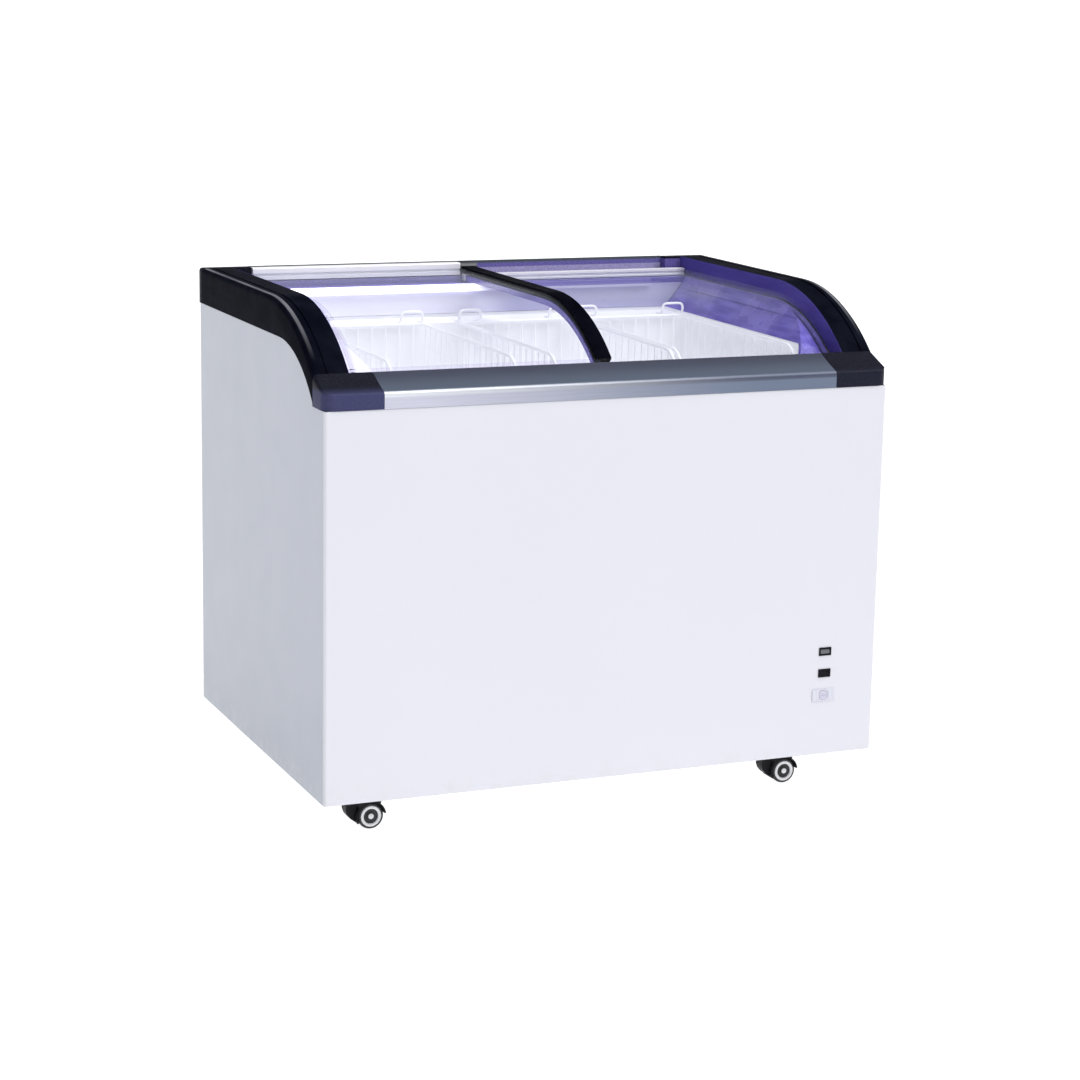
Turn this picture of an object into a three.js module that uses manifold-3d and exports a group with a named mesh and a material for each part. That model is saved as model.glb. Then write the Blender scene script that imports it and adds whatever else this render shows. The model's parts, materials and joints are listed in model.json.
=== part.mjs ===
// Curved-glass display chest freezer on casters, in millimetres, +Z up.
// Origin: centre of the footprint, on the floor. The front faces -Y.
import * as THREE from 'three';
import { mergeVertices } from 'three/addons/utils/BufferGeometryUtils.js';
import Module from 'manifold-3d';

const wasm = await Module();
wasm.setup();

// ---- driving dimensions -------------------------------------------------
const WIDTH = 1000;
const DEPTH = 714;
const CASTER_HEIGHT = 72;
const LEFT = -WIDTH / 2;
const RIGHT = WIDTH / 2;
const FRONT = -DEPTH / 2;
const BACK = DEPTH / 2;
const BASE = CASTER_HEIGHT;

const GAP = 0.4;                 // clearance between neighbouring pieces
const SHEET = 1.5;               // steel sheet with its paint
const STEEL_INSET = 1.5;         // the trim stands this far proud of the steel

// heights above the cabinet's lower edge
const FRONT_HEIGHT = 638;        // top of the front panel
const SIDE_HEIGHT = 725;         // top of the side panels behind the curve
const TRIM_TOP = 786;            // top of the arches

// the lids' curve: flat at the back, then an arc that drops to the front
const ARC_Y = 300;               // from the front face
const ARC_Z = 434;               // above the cabinet's lower edge
const ARCH_RADIUS = 352;
const UPPER_GLASS_RADIUS = 340;
const LOWER_GLASS_RADIUS = 327;
const GLASS = 4;
const BAR_WIDTH = 28;
const LEDGE_RADIUS = 318;
const LID_END_DEG = 43.4;

// tops of the side panels: an arc tangent to the flat top
const SHOULDER_Y = 232;
const SHOULDER_RADIUS = 226;

const ARCH_WIDTH = 60;
const CORNER_LENGTH = 99;
const RAIL_DEPTH = 57;
const REAR_BLOCK_LENGTH = 92;
const REAR_BLOCK_DEPTH = 24;

// tub
const TUB_HALF_WIDTH = 395;
const TUB_FRONT = 103;
const TUB_BACK = 580;
const TUB_FLOOR = 62;
const STEP_X = 150;              // the floor is raised right of this, over the machine bay
const STEP_FLOOR = 330;
const LINER_WALL = 2.5;
const REAR_LEDGE = 690;
const REAR_WALL = 660;
const FRONT_LEDGE = 650;
const LINER_TOP = 695.5;

// machine bay
const BAY_X = 205;
const BAY_CEILING = 280;

// ---- placing: distances from the front face and above the cabinet's lower edge
const at = (fromFront) => FRONT + fromFront;
const up = (height) => BASE + height;

// ---- solids ---------------------------------------------------------------
function toSolid(geometry) {
  const bare = geometry.clone();
  bare.deleteAttribute('normal');
  bare.deleteAttribute('uv');
  const merged = mergeVertices(bare, 1e-4);
  const mesh = new wasm.Mesh({
    numProp: 3,
    vertProperties: new Float32Array(merged.attributes.position.array),
    triVerts: new Uint32Array(merged.index.array),
  });
  return new wasm.Manifold(mesh);
}

function toGeometry(solid) {
  const mesh = solid.getMesh();
  const geometry = new THREE.BufferGeometry();
  geometry.setAttribute('position', new THREE.BufferAttribute(mesh.vertProperties, 3));
  geometry.setIndex(new THREE.BufferAttribute(mesh.triVerts, 1));
  geometry.computeVertexNormals();
  return geometry;
}

// a box between two values on each axis
function box(x0, x1, y0, y1, z0, z1) {
  const geometry = new THREE.BoxGeometry(x1 - x0, y1 - y0, z1 - z0);
  geometry.translate((x0 + x1) / 2, (y0 + y1) / 2, (z0 + z1) / 2);
  return toSolid(geometry);
}

// the shape's points, without the doubles where one stretch of outline meets the next
function cleanShape(shape, segments) {
  const kept = [];
  for (const point of shape.getPoints(segments)) {
    const near = [kept[0], kept[kept.length - 1]].some((p) => p && p.distanceTo(point) < 1e-3);
    if (!near) {
      kept.push(point);
    }
  }
  return new THREE.Shape(kept);
}

function extruded(shape, depth, options, basis) {
  const { curveSegments = 14, ...bevel } = options;
  const settings = { depth, bevelEnabled: false, ...bevel };
  const geometry = new THREE.ExtrudeGeometry(cleanShape(shape, curveSegments), settings);
  geometry.applyMatrix4(basis);
  return toSolid(geometry);
}

// a (y, z) outline carried along X
function alongX(shape, x0, x1, options = {}) {
  const basis = new THREE.Matrix4().makeBasis(
    new THREE.Vector3(0, 1, 0), new THREE.Vector3(0, 0, 1), new THREE.Vector3(1, 0, 0));
  basis.setPosition(x0, 0, 0);
  return extruded(shape, x1 - x0, options, basis);
}

// an (x, z) outline carried along Y
function alongY(shape, y0, y1, options = {}) {
  const basis = new THREE.Matrix4().makeBasis(
    new THREE.Vector3(1, 0, 0), new THREE.Vector3(0, 0, 1), new THREE.Vector3(0, -1, 0));
  basis.setPosition(0, y1, 0);
  return extruded(shape, y1 - y0, options, basis);
}

// an (x, y) outline carried along Z
function alongZ(shape, z0, z1, options = {}) {
  const basis = new THREE.Matrix4().makeTranslation(0, 0, z0);
  return extruded(shape, z1 - z0, options, basis);
}

function outline(points) {
  return new THREE.Shape(points.map(([a, b]) => new THREE.Vector2(a, b)));
}

// a turned piece: [radius, height] points from axis to axis, about a line along Z
function turned(points, segments) {
  const profile = points.map(([radius, height]) => new THREE.Vector2(radius, height));
  const geometry = new THREE.LatheGeometry(profile, segments);
  geometry.rotateX(Math.PI / 2);
  return toSolid(geometry);
}

function moved(solid, x, y, z) {
  return solid.translate([x, y, z]);
}

// a rod or pipe through a list of points, round at its bends
function pipe(points, radius, sides = 8) {
  const vectors = points.map((p) => new THREE.Vector3(...p));
  let solid = null;
  const join = (next) => {
    solid = solid ? solid.add(next) : next;
  };
  for (let i = 0; i + 1 < vectors.length; i += 1) {
    const run = new THREE.Vector3().subVectors(vectors[i + 1], vectors[i]);
    const geometry = new THREE.CylinderGeometry(radius, radius, run.length(), sides);
    geometry.translate(0, run.length() / 2, 0);
    const turn = new THREE.Quaternion().setFromUnitVectors(
      new THREE.Vector3(0, 1, 0), run.clone().normalize());
    geometry.applyQuaternion(turn);
    geometry.translate(vectors[i].x, vectors[i].y, vectors[i].z);
    join(toSolid(geometry));
  }
  for (let i = 1; i + 1 < vectors.length; i += 1) {
    const ball = new THREE.SphereGeometry(radius * 1.02, sides, 4);
    ball.translate(vectors[i].x, vectors[i].y, vectors[i].z);
    join(toSolid(ball));
  }
  return solid;
}

// ---- the lids' curve as outlines in (y, z) --------------------------------
function arcPoint(radius, degrees) {
  const angle = Math.PI / 2 + THREE.MathUtils.degToRad(degrees);
  return [at(ARC_Y) + radius * Math.cos(angle), up(ARC_Z) + radius * Math.sin(angle)];
}

// a curved sheet between two radii, flat from the arc's top back to a depth
function sheetOutline(outer, inner, backDepth, fromDeg, toDeg) {
  const shape = new THREE.Shape();
  const start = Math.PI / 2 + THREE.MathUtils.degToRad(fromDeg);
  const end = Math.PI / 2 + THREE.MathUtils.degToRad(toDeg);
  const hasFlat = fromDeg === 0;
  if (hasFlat) {
    shape.moveTo(at(backDepth), up(ARC_Z + outer));
    shape.lineTo(at(ARC_Y), up(ARC_Z + outer));
  }
  shape.absarc(at(ARC_Y), up(ARC_Z), outer, start, end, false);
  shape.lineTo(...arcPoint(inner, toDeg));
  shape.absarc(at(ARC_Y), up(ARC_Z), inner, end, start, true);
  if (hasFlat) {
    shape.lineTo(at(backDepth), up(ARC_Z + inner));
  }
  return shape;
}

// everything under a radius of the curve, down to a height
function underArc(radius, backDepth, toDeg, floor) {
  const shape = new THREE.Shape();
  shape.moveTo(at(backDepth), up(ARC_Z + radius));
  shape.lineTo(at(ARC_Y), up(ARC_Z + radius));
  const end = Math.PI / 2 + THREE.MathUtils.degToRad(toDeg);
  shape.absarc(at(ARC_Y), up(ARC_Z), radius, Math.PI / 2, end, false);
  shape.lineTo(arcPoint(radius, toDeg)[0], up(floor));
  shape.lineTo(at(backDepth), up(floor));
  return shape;
}

// ---- finishes --------------------------------------------------------------
const finish = (color, roughness, metalness = 0) => () =>
  new THREE.MeshStandardMaterial({ color, roughness, metalness });
const whiteSteel = finish(0xeceef2, 0.35);
const whitePlastic = finish(0xf2f3f6, 0.4);
const blackTrim = finish(0x23263a, 0.4);
const violetTrim = finish(0x4e42a0, 0.3);
const aluminium = finish(0xaab2c0, 0.3, 1);
const clearGlass = () => new THREE.MeshStandardMaterial(
  { color: 0xdfe8ee, roughness: 0.05, transparent: true, opacity: 0.2 });
const foamYellow = finish(0xd9c98f, 0.9);
const copper = finish(0xb87348, 0.35, 1);
const blackSteel = finish(0x17181a, 0.5);
const zincSteel = finish(0xb9bcc0, 0.35, 1);
const blackPlastic = finish(0x1b1c24, 0.5);
const greyPlastic = finish(0x8a8d94, 0.5);
const paleGrey = finish(0xd5d7dd, 0.5);
const basketWhite = finish(0xf6f6f8, 0.4);
const finGrey = finish(0x8f9499, 0.45, 1);

const freezer = new THREE.Group();

function add(name, solid, material) {
  const mesh = new THREE.Mesh(toGeometry(solid), material());
  mesh.name = name;
  freezer.add(mesh);
  return mesh;
}

// ---- outer shape of the trim: the side outline, with rolled shoulders, rounded in plan
function crownSolid() {
  const roll = 9;
  const low = up(FRONT_HEIGHT - 80);
  const endDeg = THREE.MathUtils.radToDeg(Math.asin((ARC_Y - RAIL_DEPTH) / ARCH_RADIUS));
  const end = Math.PI / 2 + THREE.MathUtils.degToRad(endDeg);
  const side = new THREE.Shape();
  side.moveTo(at(0), low);
  side.lineTo(BACK, low);
  side.lineTo(BACK, up(TRIM_TOP - 6));
  side.absarc(BACK - 6, up(TRIM_TOP - 6), 6, 0, Math.PI / 2, false);
  side.absarc(at(ARC_Y), up(ARC_Z), ARCH_RADIUS, Math.PI / 2, end, false);
  side.quadraticCurveTo(at(28), up(674), at(5), up(FRONT_HEIGHT + 28));
  side.quadraticCurveTo(at(0.3), up(FRONT_HEIGHT + 26), at(0), up(FRONT_HEIGHT + 21));
  const whole = alongX(side, LEFT, RIGHT);

  const over = new THREE.Shape();
  over.moveTo(at(-60), low);
  over.lineTo(BACK + 40, low);
  over.lineTo(BACK + 40, up(TRIM_TOP));
  over.absarc(at(ARC_Y), up(ARC_Z), ARCH_RADIUS, Math.PI / 2, end, false);
  over.lineTo(at(-60), up(FRONT_HEIGHT + 6));
  const rolled = alongX(over, LEFT + roll, RIGHT - roll,
    { bevelEnabled: true, bevelSize: roll, bevelThickness: roll, bevelOffset: -roll,
      bevelSegments: 3, curveSegments: 14 });
  return whole.intersect(rolled)
    .intersect(alongZ(planOutline(20, 14), up(FRONT_HEIGHT - 90), up(TRIM_TOP + 10),
      { curveSegments: 7 }));
}

// rectangle of the footprint with its own front and back corner radii, taken in by an inset
function planOutline(frontRadius, backRadius, inset = 0) {
  const x0 = LEFT + inset;
  const x1 = RIGHT - inset;
  const y0 = FRONT + inset;
  const y1 = BACK - inset;
  const shape = new THREE.Shape();
  shape.absarc(x0 + frontRadius, y0 + frontRadius, frontRadius, Math.PI, Math.PI * 1.5, false);
  shape.absarc(x1 - frontRadius, y0 + frontRadius, frontRadius, Math.PI * 1.5, 0, false);
  shape.absarc(x1 - backRadius, y1 - backRadius, backRadius, 0, Math.PI / 2, false);
  shape.absarc(x0 + backRadius, y1 - backRadius, backRadius, Math.PI / 2, Math.PI, false);
  return shape;
}

// ---- cabinet ---------------------------------------------------------------
// the side panel's outline, its top edge taken down by a drop
function sidePanelOutline(y0, y1, drop) {
  const shape = new THREE.Shape();
  const radius = SHOULDER_RADIUS - drop;
  const lastAngle = Math.PI / 2 + Math.acos((FRONT_HEIGHT + 8 - SIDE_HEIGHT + SHOULDER_RADIUS) / radius);
  shape.moveTo(y0, up(0));
  shape.lineTo(y1, up(0));
  shape.lineTo(y1, up(SIDE_HEIGHT - drop));
  shape.lineTo(at(SHOULDER_Y), up(SIDE_HEIGHT - drop));
  shape.absarc(at(SHOULDER_Y), up(SIDE_HEIGHT - SHOULDER_RADIUS), radius, Math.PI / 2, lastAngle, false);
  shape.lineTo(at(RAIL_DEPTH + 2 * GAP), up(FRONT_HEIGHT + 4 - drop));
  shape.lineTo(at(RAIL_DEPTH + 2 * GAP), up(FRONT_HEIGHT - drop));
  shape.lineTo(y0, up(FRONT_HEIGHT - drop));
  return shape;
}

const PANEL_RETURN = 8;          // how far the front panel wraps round the corner
const BACK_RETURN = 16;
const GRILLE = { y0: 90, y1: 330, z0: 60, z1: 240 };
const GLAND = { x: 232, z: 40 };
const CONTROL_X = 401;           // the controls stand in one column
const POWER_Z = 144;
const LIGHT_Z = 182;
const DIAL_Z = 105;
const ROCKER_HOLE = { w: 21, h: 12 };

function wrapShell(frontRadius, backRadius) {
  const corners = { curveSegments: 5 };
  const outer = alongZ(planOutline(frontRadius, backRadius, STEEL_INSET), up(0), up(SIDE_HEIGHT),
    corners);
  const inner = alongZ(planOutline(frontRadius - SHEET, backRadius - SHEET, STEEL_INSET + SHEET),
    up(-1), up(SIDE_HEIGHT + 1), corners);
  return outer.subtract(inner);
}

function addPanels() {
  const shell = wrapShell(5, 12);
  const front = shell.intersect(
    box(LEFT, RIGHT, FRONT, at(PANEL_RETURN), up(0), up(FRONT_HEIGHT - GAP)));
  const holes = [POWER_Z, LIGHT_Z].map((z) => box(
    CONTROL_X - ROCKER_HOLE.w / 2, CONTROL_X + ROCKER_HOLE.w / 2, FRONT - 1, at(6),
    up(z - ROCKER_HOLE.h / 2), up(z + ROCKER_HOLE.h / 2)));
  const dialHole = alongY(circle(CONTROL_X, up(DIAL_Z), 5, 16), FRONT - 1, at(6));
  add('front_panel', front.subtract(holes[0]).subtract(holes[1]).subtract(dialHole), whiteSteel);

  const back = shell.intersect(
    box(LEFT, RIGHT, BACK - BACK_RETURN, BACK, up(0), up(SIDE_HEIGHT - GAP)));
  let slotted = back;
  for (let row = 0; row < 9; row += 1) {
    const z = up(60 + row * 20);
    slotted = slotted.subtract(box(250, 450, BACK - 6, BACK + 1, z, z + 8));
  }
  const glandHole = alongY(circle(GLAND.x, up(GLAND.z), 9.5, 16), BACK - 6, BACK + 1);
  add('rear_panel', slotted.subtract(glandHole), whiteSteel);

  const plate = sidePanelOutline(at(PANEL_RETURN + GAP), BACK - BACK_RETURN - GAP, GAP);
  const edge = STEEL_INSET;
  add('side_panel_left', alongX(plate, LEFT + edge, LEFT + edge + SHEET), whiteSteel);
  const window = box(RIGHT - 5, RIGHT + 1, at(GRILLE.y0), at(GRILLE.y1), up(GRILLE.z0), up(GRILLE.z1));
  const right = alongX(plate, RIGHT - edge - SHEET, RIGHT - edge).subtract(window);
  add('side_panel_right', right, whiteSteel);
}

function circle(x, y, radius, segments) {
  const points = [];
  for (let i = 0; i < segments; i += 1) {
    const angle = (i / segments) * Math.PI * 2;
    points.push([x + radius * Math.cos(angle), y + radius * Math.sin(angle)]);
  }
  return outline(points);
}

// louvred plastic grille that fills the window in the right side panel
function addSideGrille() {
  const x0 = RIGHT - 12;
  const x1 = RIGHT - 0.2;
  const y0 = at(GRILLE.y0) + GAP;
  const y1 = at(GRILLE.y1) - GAP;
  const z0 = up(GRILLE.z0) + GAP;
  const z1 = up(GRILLE.z1) - GAP;
  const border = 9;
  let grille = box(x0, x1, y0, y1, z0, z1)
    .subtract(box(x0 - 1, x1 + 1, y0 + border, y1 - border, z0 + border, z1 - border));
  const slats = 10;
  const pitch = (z1 - z0 - 2 * border) / slats;
  for (let i = 0; i < slats; i += 1) {
    const z = z0 + border + (i + 0.5) * pitch;
    const slat = outline([[x0 + 1, z + 4.5], [x0 + 1, z + 2.5], [x1 - 1, z - 5], [x1 - 1, z - 3]]);
    grille = grille.add(alongY(slat, y0 + border - 1, y1 - border + 1));
  }
  add('side_grille', grille, whitePlastic);
}

function addBase() {
  const inset = 4;
  const rim = 24;
  const corners = { curveSegments: 4 };
  const tray = alongZ(planOutline(4, 10, inset), up(2), up(2 + rim), corners);
  const hollow = alongZ(planOutline(2.5, 8.5, inset + SHEET), up(2 + SHEET), up(3 + rim), corners);
  const drain = alongZ(circle(DRAIN_X, at(DRAIN_Y), DRAIN_RADIUS + 1, 20), up(0), up(10));
  add('base_pan', tray.subtract(hollow).subtract(drain), zincSteel);
}

// ---- tub, foam and evaporator -----------------------------------------------
const DRAIN_X = -200;
const DRAIN_Y = 340;
const DRAIN_RADIUS = 13;

// inside of the tub in (y, z), its walls moved outwards by grow, open at the top
function tubOutline(grow, top) {
  const floor = TUB_FLOOR - grow;
  return outline([
    [at(85 - grow), up(top)],
    [at(85 - grow), up(FRONT_LEDGE - grow)],
    [at(TUB_FRONT - grow), up(FRONT_LEDGE - grow)],
    [at(TUB_FRONT - grow), up(floor)],
    [at(TUB_BACK + grow), up(floor)],
    [at(TUB_BACK + grow), up(REAR_LEDGE - grow)],
    [at(REAR_WALL + grow), up(REAR_LEDGE - grow)],
    [at(REAR_WALL + grow), up(top)],
  ]);
}

function tubSolid(grow, top) {
  const half = TUB_HALF_WIDTH + grow;
  const body = alongX(tubOutline(grow, top), -half, half);
  const step = box(STEP_X + grow, half + 1, at(0), at(REAR_LEDGE), up(0), up(STEP_FLOOR - grow));
  return body.subtract(step);
}

function addTub() {
  const shell = tubSolid(LINER_WALL, 760).subtract(tubSolid(0, 761));
  const keep = alongX(underArc(LEDGE_RADIUS - 7, 700, 60, 0), LEFT, RIGHT)
    .intersect(box(LEFT, RIGHT, FRONT, BACK, up(0), up(LINER_TOP)));
  const drain = alongZ(circle(DRAIN_X, at(DRAIN_Y), DRAIN_RADIUS, 20), up(40), up(80));
  const frontCut = box(LEFT, RIGHT, at(70), at(90), up(655), up(800));
  add('inner_liner', shell.intersect(keep).subtract(frontCut).subtract(drain), whitePlastic);

  const evaporatorRoom = 13;
  const outer = new THREE.Shape();
  const top = REAR_LEDGE - 4;
  const radius = LEDGE_RADIUS - 9;
  const meetDeg = THREE.MathUtils.radToDeg(Math.acos((top - ARC_Z) / radius));
  const endDeg = THREE.MathUtils.radToDeg(Math.asin((ARC_Y - 84) / radius));
  outer.moveTo(at(6), up(30));
  outer.lineTo(at(708), up(30));
  outer.lineTo(at(708), up(top));
  outer.absarc(at(ARC_Y), up(ARC_Z), radius, Math.PI / 2 + THREE.MathUtils.degToRad(meetDeg),
    Math.PI / 2 + THREE.MathUtils.degToRad(endDeg), false);
  outer.lineTo(at(84), up(FRONT_HEIGHT - 2));
  outer.lineTo(at(6), up(FRONT_HEIGHT - 2));
  const block = alongX(outer, LEFT + 7, RIGHT - 7);
  const bay = box(BAY_X, RIGHT, FRONT, BACK, up(0), up(BAY_CEILING));
  const well = alongZ(circle(DRAIN_X, at(DRAIN_Y), DRAIN_RADIUS + 1, 20), up(20), up(80));
  const foam = block.subtract(tubSolid(evaporatorRoom, 760)).subtract(bay).subtract(well);
  add('foam_insulation', foam, foamYellow);
}

// pipe wound round the tub above the machine bay
function addEvaporator() {
  const radius = 4;
  const stand = LINER_WALL + radius + 1;
  const x = TUB_HALF_WIDTH + stand;
  const y0 = at(TUB_FRONT - stand);
  const y1 = at(TUB_BACK + stand);
  const turns = 4;
  const pitch = 65;
  const points = [];
  for (let turn = 0; turn < turns; turn += 1) {
    const z = up(390 + turn * pitch);
    points.push([-x, y0, z], [x, y0, z], [x, y1, z], [-x, y1, z]);
  }
  add('evaporator_coil', pipe(points, radius, 6), copper);
}

function addDrainPlug() {
  const plug = turned([
    [0, 0], [9, 0], [11.5, 8], [11.5, 12], [18, 12], [18, 15], [5, 16], [4, 26], [0, 26],
  ], 20);
  add('drain_plug', moved(plug, DRAIN_X, at(DRAIN_Y), up(TUB_FLOOR - 11.5)), greyPlastic);
}

// ---- top frame ---------------------------------------------------------------
const REAR_BLOCK_FRONT = DEPTH - REAR_BLOCK_DEPTH;

// region between the lower edge of the trim and the sky, for the arches' outer plates
function aboveSidePanel() {
  const tall = alongX(outline([
    [FRONT - 5, up(FRONT_HEIGHT - 60)], [BACK + 5, up(FRONT_HEIGHT - 60)],
    [BACK + 5, up(TRIM_TOP + 20)], [FRONT - 5, up(TRIM_TOP + 20)]]), LEFT - 5, RIGHT + 5);
  const steel = alongX(sidePanelOutline(FRONT - 6, BACK + 6, 0), LEFT - 6, RIGHT + 6);
  return tall.subtract(steel);
}

function addTopFrame() {
  const crown = crownSolid();
  const plateZone = aboveSidePanel().intersect(crown);
  const plate = 6;
  const span = (x0, x1, y0, y1) => box(x0, x1, at(y0), at(y1), up(FRONT_HEIGHT - 70), up(900));
  const topBand = alongX(sheetOutline(ARCH_RADIUS + 1, ARCH_RADIUS - 11, DEPTH + 5, 0, 50), LEFT, RIGHT);
  const innerBand = alongX(sheetOutline(ARCH_RADIUS + 1, LEDGE_RADIUS + 1.5, DEPTH + 5, 0, 50), LEFT, RIGHT);
  const groove = alongX(sheetOutline(ARCH_RADIUS + 1, ARCH_RADIUS - 2.2, DEPTH + 5, 0, 50),
    LEFT + 21, LEFT + 25);

  // the left arch, mirrored for the right one
  const length = [RAIL_DEPTH + GAP, REAR_BLOCK_FRONT - GAP];
  const outerPlate = plateZone.intersect(span(LEFT, LEFT + plate, ...length));
  const cap = topBand.intersect(crown).intersect(span(LEFT, LEFT + ARCH_WIDTH, ...length));
  const innerWall = innerBand.intersect(crown)
    .intersect(span(LEFT + ARCH_WIDTH - 5, LEFT + ARCH_WIDTH, ...length));
  const leftArch = outerPlate.add(cap).add(innerWall).subtract(groove);
  add('side_arch_left', leftArch, blackTrim);
  add('side_arch_right', leftArch.mirror([1, 0, 0]), blackTrim);

  // front corners: solid blocks hollow from below
  const cornerZone = crown.intersect(
    box(LEFT, LEFT + CORNER_LENGTH, FRONT, at(RAIL_DEPTH), up(FRONT_HEIGHT), up(900)));
  const cornerHollow = box(LEFT + 8, LEFT + CORNER_LENGTH - 6, at(8), at(RAIL_DEPTH - 6),
    up(FRONT_HEIGHT - 1), up(FRONT_HEIGHT + 18));
  const corner = cornerZone.subtract(cornerHollow);
  add('front_corner_left', corner, blackTrim);
  add('front_corner_right', corner.mirror([1, 0, 0]), blackTrim);

  // front rail between them: a hollow aluminium extrusion, open at both ends
  const railX = RIGHT - CORNER_LENGTH - GAP;
  const rail = crown.intersect(box(-railX, railX, FRONT, at(RAIL_DEPTH), up(FRONT_HEIGHT), up(900)));
  const channel = outline([
    [at(3), up(FRONT_HEIGHT + 3)], [at(RAIL_DEPTH - 3), up(FRONT_HEIGHT + 3)],
    [at(RAIL_DEPTH - 3), up(FRONT_HEIGHT + 45)], [at(6), up(FRONT_HEIGHT + 24)],
    [at(3), up(FRONT_HEIGHT + 20)]]);
  add('front_rail', rail.subtract(alongX(channel, -railX - 1, railX + 1)), aluminium);

  // rear corners
  const rearZone = crown.intersect(box(LEFT, LEFT + REAR_BLOCK_LENGTH, at(REAR_BLOCK_FRONT), BACK,
    up(SIDE_HEIGHT), up(900)));
  const rearHollow = box(LEFT + 8, LEFT + REAR_BLOCK_LENGTH - 6, at(REAR_BLOCK_FRONT + 5), BACK - 6,
    up(SIDE_HEIGHT - 1), up(TRIM_TOP - 8));
  const rear = rearZone.subtract(rearHollow);
  add('rear_corner_left', rear, blackTrim);
  add('rear_corner_right', rear.mirror([1, 0, 0]), blackTrim);
}

function addTracks() {
  // stepped rail across the back: the lower lid runs on the front step, the upper lid on the back one
  const rearX = RIGHT - REAR_BLOCK_LENGTH - GAP;
  const rail = outline([
    [at(665), up(SIDE_HEIGHT + 1)], [at(DEPTH), up(SIDE_HEIGHT + 1)], [at(DEPTH), up(TRIM_TOP - 1)],
    [at(DEPTH - 1), up(TRIM_TOP)], [at(710), up(TRIM_TOP)], [at(710), up(761)], [at(684), up(761)],
    [at(684), up(750)], [at(665), up(750)]]);
  add('rear_rail', alongX(rail, -rearX, rearX), blackTrim);

  // sloping track behind the front rail, under the lids' front shoes
  const track = outline([
    [at(RAIL_DEPTH + GAP), up(640)], [at(82), up(640)], [at(82), up(655.5)],
    [at(77), up(659.8)], [at(RAIL_DEPTH + GAP), up(678.6)]]);
  add('front_track', alongX(track, LEFT + 62, RIGHT - 62), blackPlastic);
}

// band inside each arch, violet on the right and white on the left: a sloping wall down to the tub
// and a ledge under the lids' edge
function addInnerTrim() {
  const bottomX = TUB_HALF_WIDTH;
  const bottomZ = up(LINER_TOP + 0.5);
  const topX = RIGHT - ARCH_WIDTH - 2;
  const topZ = up(ARC_Z + LEDGE_RADIUS);
  const wall = 4;
  const slope = (topX - bottomX) / (topZ - bottomZ);
  const faceX = (z) => bottomX + (z - bottomZ) * slope;
  const grooveZ = up(729);
  const face = outline([
    [faceX(bottomZ), bottomZ], [faceX(bottomZ) + wall, bottomZ], [faceX(topZ) + wall, topZ],
    [faceX(topZ), topZ], [faceX(grooveZ + 3), grooveZ + 3], [faceX(grooveZ + 2) + 2, grooveZ + 2],
    [faceX(grooveZ) + 2, grooveZ], [faceX(grooveZ - 1), grooveZ - 1]]);
  const band = alongX(underArc(LEDGE_RADIUS, 689, 60, 500), bottomX - 2, topX);
  const slopingWall = alongY(face, at(57), at(689)).intersect(band);
  const behind = alongY(outline([
    [faceX(bottomZ - 60) + 1, bottomZ - 60], [RIGHT, bottomZ - 60], [RIGHT, topZ + 5],
    [faceX(topZ + 5) + 1, topZ + 5]]), at(57), at(689));
  const ledge = alongX(sheetOutline(LEDGE_RADIUS, LEDGE_RADIUS - 5, 689, 0, 41), bottomX - 20, topX)
    .intersect(behind);
  const right = slopingWall.add(ledge);
  add('inner_trim_right', right, violetTrim);
  add('inner_trim_left', right.mirror([1, 0, 0]), whitePlastic);

  const rearTop = up(752);
  const half = (z) => faceX(z) - 1;
  const rearBottom = up(LINER_TOP + 1);
  add('inner_trim_rear', alongY(outline([
    [-half(rearBottom), rearBottom], [half(rearBottom), rearBottom],
    [half(up(746)), up(746)], [half(up(746)), rearTop], [-half(up(746)), rearTop],
    [-half(up(746)), up(746)]]), at(656), at(664.5)), whitePlastic);
  add('lamp_strip', box(-360, 360, at(648), at(656 - GAP), up(737), up(750)), whitePlastic);
}

// ---- sliding lids ---------------------------------------------------------------
const LID_LEFT = LEFT + ARCH_WIDTH + 2;
const LID_RIGHT = RIGHT - ARCH_WIDTH - 2;
const UPPER_END = 20;            // right edge of the upper (left) lid
const LOWER_START = -8;          // left edge of the lower (right) lid

function addLid(side, glassRadius, x0, x1, barAtRight, glassBack) {
  const barOuter = glassRadius + 3.5;
  const barInner = glassRadius - GLASS - 3;
  const trim = 16;
  const glassFrom = barAtRight ? x0 + trim / 2 : x0 + BAR_WIDTH - 8;
  const glassTo = barAtRight ? x1 - BAR_WIDTH + 8 : x1 - trim / 2;
  const glassEnd = LID_END_DEG - 1.2;
  const glass = alongX(sheetOutline(glassRadius, glassRadius - GLASS, glassBack, 0, glassEnd),
    glassFrom, glassTo);
  add(`lid_${side}_glass`, glass, clearGlass);

  // slot that holds the glass, a little larger than it on every side
  const slot = alongX(sheetOutline(glassRadius + GAP, glassRadius - GLASS - GAP, glassBack + 20, 0,
    glassEnd + 0.08), glassFrom - GAP, glassTo + GAP);
  const barOutline = sheetOutline(barOuter, barInner, glassBack - 4, 0, LID_END_DEG - 2.2);
  const barFrom = barAtRight ? x1 - BAR_WIDTH : x0;
  add(`lid_${side}_bar`, alongX(barOutline, barFrom, barFrom + BAR_WIDTH).subtract(slot), blackTrim);
  const edgeFrom = barAtRight ? x0 : x1 - trim;
  add(`lid_${side}_edge`, alongX(barOutline, edgeFrom, edgeFrom + trim).subtract(slot), blackTrim);
  const shoe = sheetOutline(barOuter + 0.5, barInner, 0, LID_END_DEG - 2.1, LID_END_DEG + 0.8);
  add(`lid_${side}_shoe`, alongX(shoe, x0, x1).subtract(slot), blackPlastic);
}

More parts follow.
